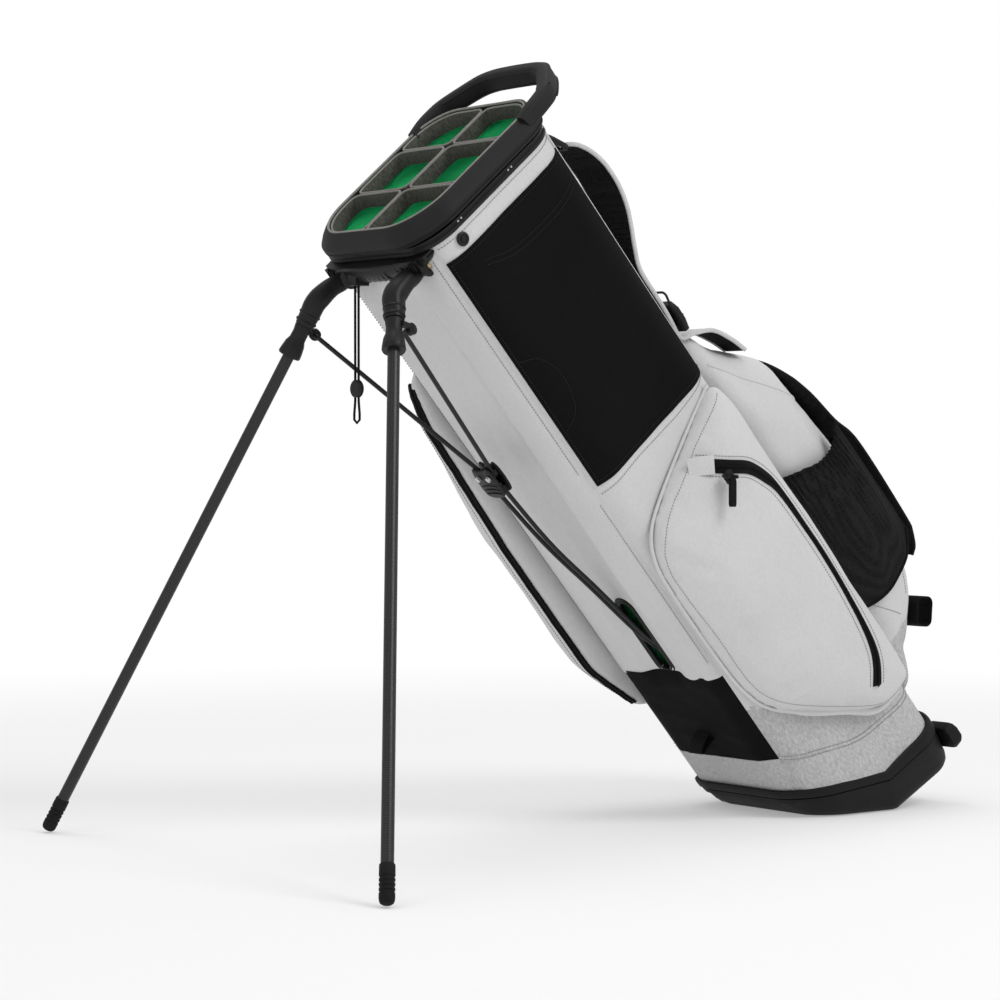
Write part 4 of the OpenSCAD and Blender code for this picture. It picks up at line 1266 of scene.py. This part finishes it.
def stay_rods():
    """Bent steel rods, from the base to the clip and from the clip to each leg"""
    route = smooth([(-80, 4.2, 118), (-81, 4.2, 200), (-84, 4.2, 290), (-98, 4.2, 345), (-112, 4.7, 418),
                    (-127, 5.4, 494), (-137, 8, 586)], 8.0)
    anchor = lathe(drum([(2.6, -8.5), (4.6, -8.5), (5, -8)]), (-80, 0, 118), (0, 1, 0))
    low = join(both(sweep(route, circle(ROD_RADIUS, 16))), anchor)
    build("stay_rods_low", low, rod_paint, "lower_rods", "lower_rods")
    bend = EYE + FOLD_AXIS * 9
    down = unit(CLIP_EYE - bend)
    path = [EYE + FOLD_AXIS * k for k in (0.5, 4, 7.4)] + [bend + down * 1.6, bend + down * 6]
    path += [bend + down * k for k in np.linspace(20, np.linalg.norm(CLIP_EYE - bend) - 3.6, 12)]
    flat = lathe(drum([(1.8, -2.7), (4.4, -2.7), (4.8, -2.3)]), CLIP_EYE, CLIP_AXIS)
    tip = lathe([(0, -4.2), (2.4, -4.2), (2.8, -3.6), (2.8, -3.2), (0, -3.2)], EYE, FOLD_AXIS, 16)
    rod = join(sweep(np.array(path), circle(ROD_RADIUS, 16)), flat, tip)
    build("stay_rod_left", rod, rod_paint, "upper_rod_left", "upper_rod_left")
    build("stay_rod_right", mirrored(rod), rod_paint, "upper_rod_right", "upper_rod_right")


def clip():
    """Two ribbed plates that join the rods, with their rivets"""
    corners = [(-10, 571.5), (10, 571.5), (15.5, 580), (15.5, 600), (11, 608.5), (5, 606), (-5, 606),
               (-11, 608.5), (-15.5, 600), (-15.5, 580)]
    shape = flat_smooth(corners, 2.0, True)
    centre = shape.mean(0)
    rim = ((-1.5, 0.02), (-1.5, 0.94), (-0.9, 1), (0.9, 1), (1.5, 0.94), (1.5, 0.02))
    plates = [loft([at_front(u + d, centre + (shape - centre) * f) for d, f in rim])
              for u in (-131.6, -142.4)]
    ribs = [sweep([(-144.2, -12, w), (-144.4, 0, w + 1), (-144.2, 12, w)], rounded(1.6, 1.2, 0.5, 2),
                  up=(1, 0, 0)) for w in (576, 581, 586)]
    web = sweep([(-137, 0, 573), (-137, 0, 606)], rounded(8.4, 3.4, 1.0), up=(0, 1, 0))
    foot = sweep([(-137, -11, 577), (-137, 11, 577)], rounded(8.4, 8, 1.5), up=(0, 0, 1))
    build("rod_clip", join(*plates, *ribs, web, foot), plastic, "spreader_clip", "lower_rods")
    head = [(0, 0), (3.2, 0), (3.2, 0.6), (2.4, 1.4), (0, 1.8)]
    caps = lathe(head, CLIP_EYE + CLIP_AXIS * 7.6, CLIP_AXIS, 20)
    build("clip_rivet_caps", both(caps), steel, body="lower_rods")


def rod_grommet():
    """Oval ridged grommet where the rods enter the tube, and the webbing behind it"""
    line = rounded(23, 102, 11.4, 10)
    away = unit(line - np.clip(line, (-0.1, -40), (0.1, 40)))
    steps = ((-3.4, -3), (-3.4, 0.6), (-2.6, 1.4), (-1.2, 1.6), (-0.4, 0.7), (0.8, 0.7), (1.6, 1.6),
             (3.2, 1.4), (4.0, 0.2), (4.0, -3))
    rows = [at_front(-93.4 - out, np.array((0.0, SLOT_W)) + line + away * grow) for grow, out in steps]
    build("rod_grommet", loft(rows, loop=True), plastic, "rod_guide")
    vv, ww = np.meshgrid(np.linspace(-13, 13, 12), np.linspace(268, 396, 40))
    back = np.stack([-72 + 1.2 * np.cos(vv / 6) + np.sin(ww / 6) * 0.5, vv, ww], -1)
    build("rod_sock", slab(back, back + (1.4, 0, 0)), web_cloth)


# ---------- base ----------
def base_row(grow, line, up, wide=1):
    """Ring of the base: growth of its outline, profile line, height over that line, and its width"""
    uv = ring(BASE, grow) * (1, wide)
    return at_height(uv, line_at(line, uv[:, 0]) + up)


def base_parts():
    """Rubber base in two drafted tiers, closed under the sole"""
    rows = [base_row(-14, SOLE_LINE, 0.4, k) for k in (0.02, 0.35, 0.7)]
    rows += [base_row(grow, SOLE_LINE, up) for grow, up in ((-14, 0.4), (-9, 2.2), (-5.5, 6.5), (-3.4, 13))]
    seam = ((-0.8, -7), (-0.2, -2.5), (-0.2, -1.2), (-1.4, -0.4), (-4, -0.2))
    rows += [base_row(grow, SEAM_LINE, up) for grow, up in seam]
    rows += [base_row(grow, SOLE_LINE, up) for grow, up in ((-6, 8), (-10, 16))]
    rows += [base_row(-10, SOLE_LINE, 16, k) for k in (0.7, 0.35, 0.02)]
    build("base_shell", loft(rows), base_rubber, "base_cup", "base", sharp=32)
    build("base_lugs", base_lugs(), plastic, body="base")
    trim = [(-5.5, SEAM_LINE, 0.4), (0.4, SEAM_LINE, 0.4), (1.6, SEAM_LINE, 1.8), (1.8, RIM_LINE, -4),
            (1.2, RIM_LINE, -1), (-0.6, RIM_LINE, 0.6), (-3, RIM_LINE, 0.2), (-5.5, RIM_LINE, -3)]
    build("base_trim", loft([base_row(*s) for s in trim], True), base_rubber, "base_rim_trim", "base")
    heel = [at_side(rounded(15, 29 * grow, 4.0, 5) + (104.5, 0.5), v)
            for v, grow in ((58, 0.6), (61, 0.92), (66, 1.0), (88, 1.0), (93, 0.92), (96, 0.6))]
    build("heel_bumps", both(loft(heel)), base_rubber, "heel_bumper", "base")
    feet = [at_front(u, rounded(30, 9, 3, 3) + (77, -9)) for u in (105, 113)]
    build("heel_feet", both(loft(feet)), tip_rubber, body="base")


def base_lugs():
    """Ears inside the base that hold the hinge pin and the rods' pin"""
    parts = []
    eye = drum([(3.1, -3.8), (7.4, -3.8), (8, -3)])
    for v in (-46, 46):
        parts.append(lathe(eye, (88, v, 52), (0, 1, 0)))
        parts.append(sweep([(88, v, -8), (88, v, 44)], rounded(14, 7.6, 2.0), up=(0, 1, 0)))
    for v in (-12, 12):
        parts.append(sweep([(-80, v, 76), (-80, v, 113)], rounded(14, 3.8, 1.2), up=(0, 1, 0)))
    return join(*parts)


# ---------- straps ----------
def straps():
    """Padded shoulder straps: light cloth outside, mesh inside, bound edges"""
    route = side_smooth([(113, 815), (121, 812), (130, 803), (137.5, 787), (141, 766), (140.5, 743),
                         (135, 721), (126, 702), (116, 684), (106.5, 662), (105.5, 630), (105.5, 600),
                         (106, 572), (124, 563), (147, 548), (162, 524), (171, 502)])
    out = outward(route)
    n = len(route)
    t = np.linspace(0, 1, n)
    half = np.interp(t, (0, 0.05, 0.15, 0.6, 0.75, 1), (15, 22, 27, 27, 22, 16))
    thick = np.interp(t, (0, 0.06, 0.2, 0.6, 0.72, 1), (2.5, 4.5, 7, 7, 4.5, 3))
    a = np.linspace(0, 2 * math.pi, 36, endpoint=False)
    x = squared(np.cos(a), 0.4)
    y = 0.5 + 0.5 * squared(np.sin(a), 0.7)

    def strip(low, high, trim, swell):
        rings = []
        for i in range(n):
            deep = thick[i] * (low + (high - low) * y) - thick[i] / 2
            wave = swell * math.sin(i * 0.9) * (1 - np.abs(x)) * 0.5
            rings.append(route[i] + (0, STRAP_V, 0) + out[i] * (deep + wave)[:, None]
                         + np.array((0, 1, 0)) * (x * (half[i] - trim))[:, None])
        return loft(rings)

    edges = [route + (0, STRAP_V, 0) + np.stack([t * 0, k * half, t * 0], 1) for k in (-1, 1)]
    bound = join(*[sweep(p, rounded(3.2, 4.6, 1.4, 3), up=out) for p in edges])
    face = strip(0.42, 1.0, 0.8, 0.5)
    under = strip(0.0, 0.5, 0.6, 0.3)
    for side, word in ((1, "left"), (-1, "right")):
        build("strap_face_" + word, handed(face, side), strap_cloth, "strap_" + word)
        build("strap_mesh_" + word, handed(under, side), mesh_black)
        build("strap_binding_" + word, handed(bound, side), strap_cloth)


def strap_hardware():
    """Ladder locks under the cuff, buckles lower down, and the webbing between"""
    frame_path = [(108 - 0.55 * z, LOCK_V + y, 824 + z) for y, z in rounded(44, 24, 5, 4)]
    locks = [sweep(frame_path, rounded(5.4, 5.0, 1.6, 3), up=(1, 0, 0.5), loop=True)]
    for z in (-4, 4):
        bar = [(109 - 0.55 * z, LOCK_V + y, 824 + z) for y in (-21, 0, 21)]
        locks.append(sweep(bar, rounded(4.4, 3.6, 1.2, 3), up=(1, 0, 0.5)))
    build("ladder_locks", both(join(*locks)), plastic, "strap_locks")
    body = sweep([(u, BUCKLE_V, w) for u, w in ((114.4, 576), (115.2, 588), (115.2, 602), (114.2, 611))],
                 rounded(30, 8.0, 3, 5)[:, ::-1], up=(0, 1, 0), scale=(0.86, 1, 1, 0.8))
    wire = [(114.6 + 0.2 * z, BUCKLE_V + y, 616 + z) for y, z in rounded(22, 16, 5, 4)]
    bail = sweep(wire, circle(1.3, 8), up=(1, 0, 0), loop=True)
    bar = [(119.4, 48, 592), (119.8, 60, 592), (119.4, 72, 592)]
    rib = sweep(bar, rounded(2.0, 2.4, 0.8, 3), up=(1, 0, 0))
    build("strap_clips", both(join(body, bail, rib)), plastic, "strap_buckles")
    high = [(101.6, 847), (102.6, 838), (106, 831), (111, 825), (112, 818), (116, 813)]
    low = [(109.4, 560), (110.6, 574), (111, 588)]
    bands = [webbing(side_smooth(path, 2.0, LOCK_V), width, thick, 0.7)
             for path, width, thick in ((high, 20, 1.7), (low, 18, 1.6))]
    build("strap_web", both(join(*bands)), web_cloth, "strap_webbing")


# ---------- towel cord ----------
CORD_TOP = np.array((-0.571, 0.033, 0.556))


def towel_cord():
    """Elastic loop that hangs from the hub, with its round lock"""
    half = [(-3, 0), (-3, -20), (-3, -50), (-3, -80), (-3, -112), (-3.6, -119), (-4.6, -126), (-5, -131),
            (-4.6, -133), (-3.5, -134.5), (-1.9, -135.6), (0, -136)]
    route = half + [(-y, z) for y, z in half[-2::-1]]
    points = smooth([(0.0, y, z) for y, z in route], 6.0) / 1000 + CORD_TOP
    curve = bpy.data.curves.new("cord_loop", "CURVE")
    curve.dimensions = "3D"
    curve.bevel_depth = CORD_RADIUS
    curve.bevel_resolution = 4
    curve.use_fill_caps = True
    spline = curve.splines.new("POLY")
    spline.points.add(len(points) - 1)
    for point, co in zip(spline.points, points):
        point.co = (*co, 1.0)
    obj = bpy.data.objects.new("cord_loop", curve)
    bpy.context.collection.objects.link(obj)
    curve.materials.append(cord_cloth)
    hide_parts("towel_cord")
    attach(obj, "bag")
    disc = [(0, -3.2), (7.6, -3.2), (8.8, -2.2), (8.8, -0.8), (8.2, -0.5), (8.2, 0.5), (8.8, 0.8),
            (8.8, 2.2), (7.6, 3.2), (4.2, 3.2), (3.8, 2.6), (0, 2.6)]
    centre = bag_frame(CORD_TOP - (0, 0, 0.102))
    lock = build("cord_disc", lathe(disc, centre, (COS, 0, -SIN), 36), plastic, "cord_lock",
                  "cord_lock")


# ---------- CAD parts that stay ----------
def keep(look, *names):
    for name in names:
        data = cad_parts[name]
        data.data.materials.clear()
        data.data.materials.append(look)


# ---------- stage ----------
def stage():
    m, tree, shader, _ = material("floor_paper", 0.9, specular=0.1)
    where = node(tree, "TexCoord").outputs["Object"]
    fine = speckle(tree, where, 60.0, 3.0)
    colour = mix(tree, fine, (0.93, 0.93, 0.93, 1), (0.95, 0.95, 0.95, 1))
    tree.links.new(colour, shader.inputs["Base Color"])
    far = node(tree, "VectorMath", {"operation": "LENGTH"}, i0=where).outputs["Value"]
    fade = soft_step(tree, far, 0.8, 2.4, 0.3)
    glow = node(tree, "Emission", Color=(1, 1, 1, 1), Strength=1.0)
    blend = node(tree, "MixShader", i0=fade, i1=shader.outputs[0], i2=glow.outputs[0])
    tree.links.new(blend.outputs[0], tree.nodes["Material Output"].inputs["Surface"])
    data = bpy.data.meshes.new("floor")
    n = 64
    turns = [2 * math.pi * k / n for k in range(n)]
    points = [(FLOOR_RADIUS * math.cos(a), FLOOR_RADIUS * math.sin(a), 0) for a in turns]
    data.from_pydata(points, [], [tuple(range(n))])
    data.materials.append(m)
    floor = bpy.data.objects.new("floor", data)
    floor.location = (-0.3, 0, -0.0003)
    bpy.context.collection.objects.link(floor)


def area_light(name, location, target, size, power):
    light = bpy.data.lights.new(name, "AREA")
    light.shape = "DISK"
    light.size = size
    light.energy = power
    obj = bpy.data.objects.new(name, light)
    obj.location = location
    obj.rotation_euler = (Vector(target) - Vector(location)).to_track_quat("-Z", "Y").to_euler()
    bpy.context.collection.objects.link(obj)


def lights():
    world = bpy.data.worlds.new("studio")
    world.use_nodes = True
    tree = world.node_tree
    sky = tree.nodes["Background"]
    sky.inputs["Color"].default_value = (1, 1, 1, 1)
    seen = node(tree, "LightPath").outputs["Is Camera Ray"]
    strength = node(tree, "MapRange", Value=seen, i3=0.62, i4=1.0).outputs[0]
    tree.links.new(strength, sky.inputs["Strength"])
    bpy.context.scene.world = world
    middle = (-0.3, 0, 0.35)
    area_light("key", (0.4, -2.4, 2.9), middle, 1.5, 42)
    area_light("fill", (-3.2, -0.6, 1.4), middle, 1.6, 6)
    area_light("top", (-0.2, 0.6, 3.2), middle, 1.4, 16)


def camera():
    data = bpy.data.cameras.new("camera")
    data.lens = 104.4
    data.sensor_width = 36
    obj = bpy.data.objects.new("camera", data)
    obj.location = (-2.1898, -2.3510, 0.3975)
    aim = Vector((-0.4182, 0, 0.3424)) - Vector(obj.location)
    obj.rotation_euler = aim.to_track_quat("-Z", "Y").to_euler()
    bpy.context.collection.objects.link(obj)
    bpy.context.scene.camera = obj
    bpy.context.scene.view_settings.view_transform = "Standard"


for make in (tube_panels, gusset, black_panel, seams, hem_stitches, side_pocket, pull_tab, rear_pocket,
             mesh_pocket, hip_pad, loops_and_tabs, left_pocket, cuff, handle, top_dividers, lining,
             snap_buttons, hub, bolts):
    make()
for which in (1, -1):
    elbow(which)
    yoke(which)
    leg(which)
for make in (stay_rods, clip, rod_grommet, base_parts, straps, strap_hardware, towel_cord):
    make()
keep(plastic, "leg_hub", "zip_slider", "base_hinge_bracket")
keep(steel, "hub_screws", "base_hinge_pin", "rod_anchor_pin", "clip_rivets")
keep(brass, "pivot_bolts")
keep(stay, "spine_stay", "side_stays")
stage()
lights()
camera()
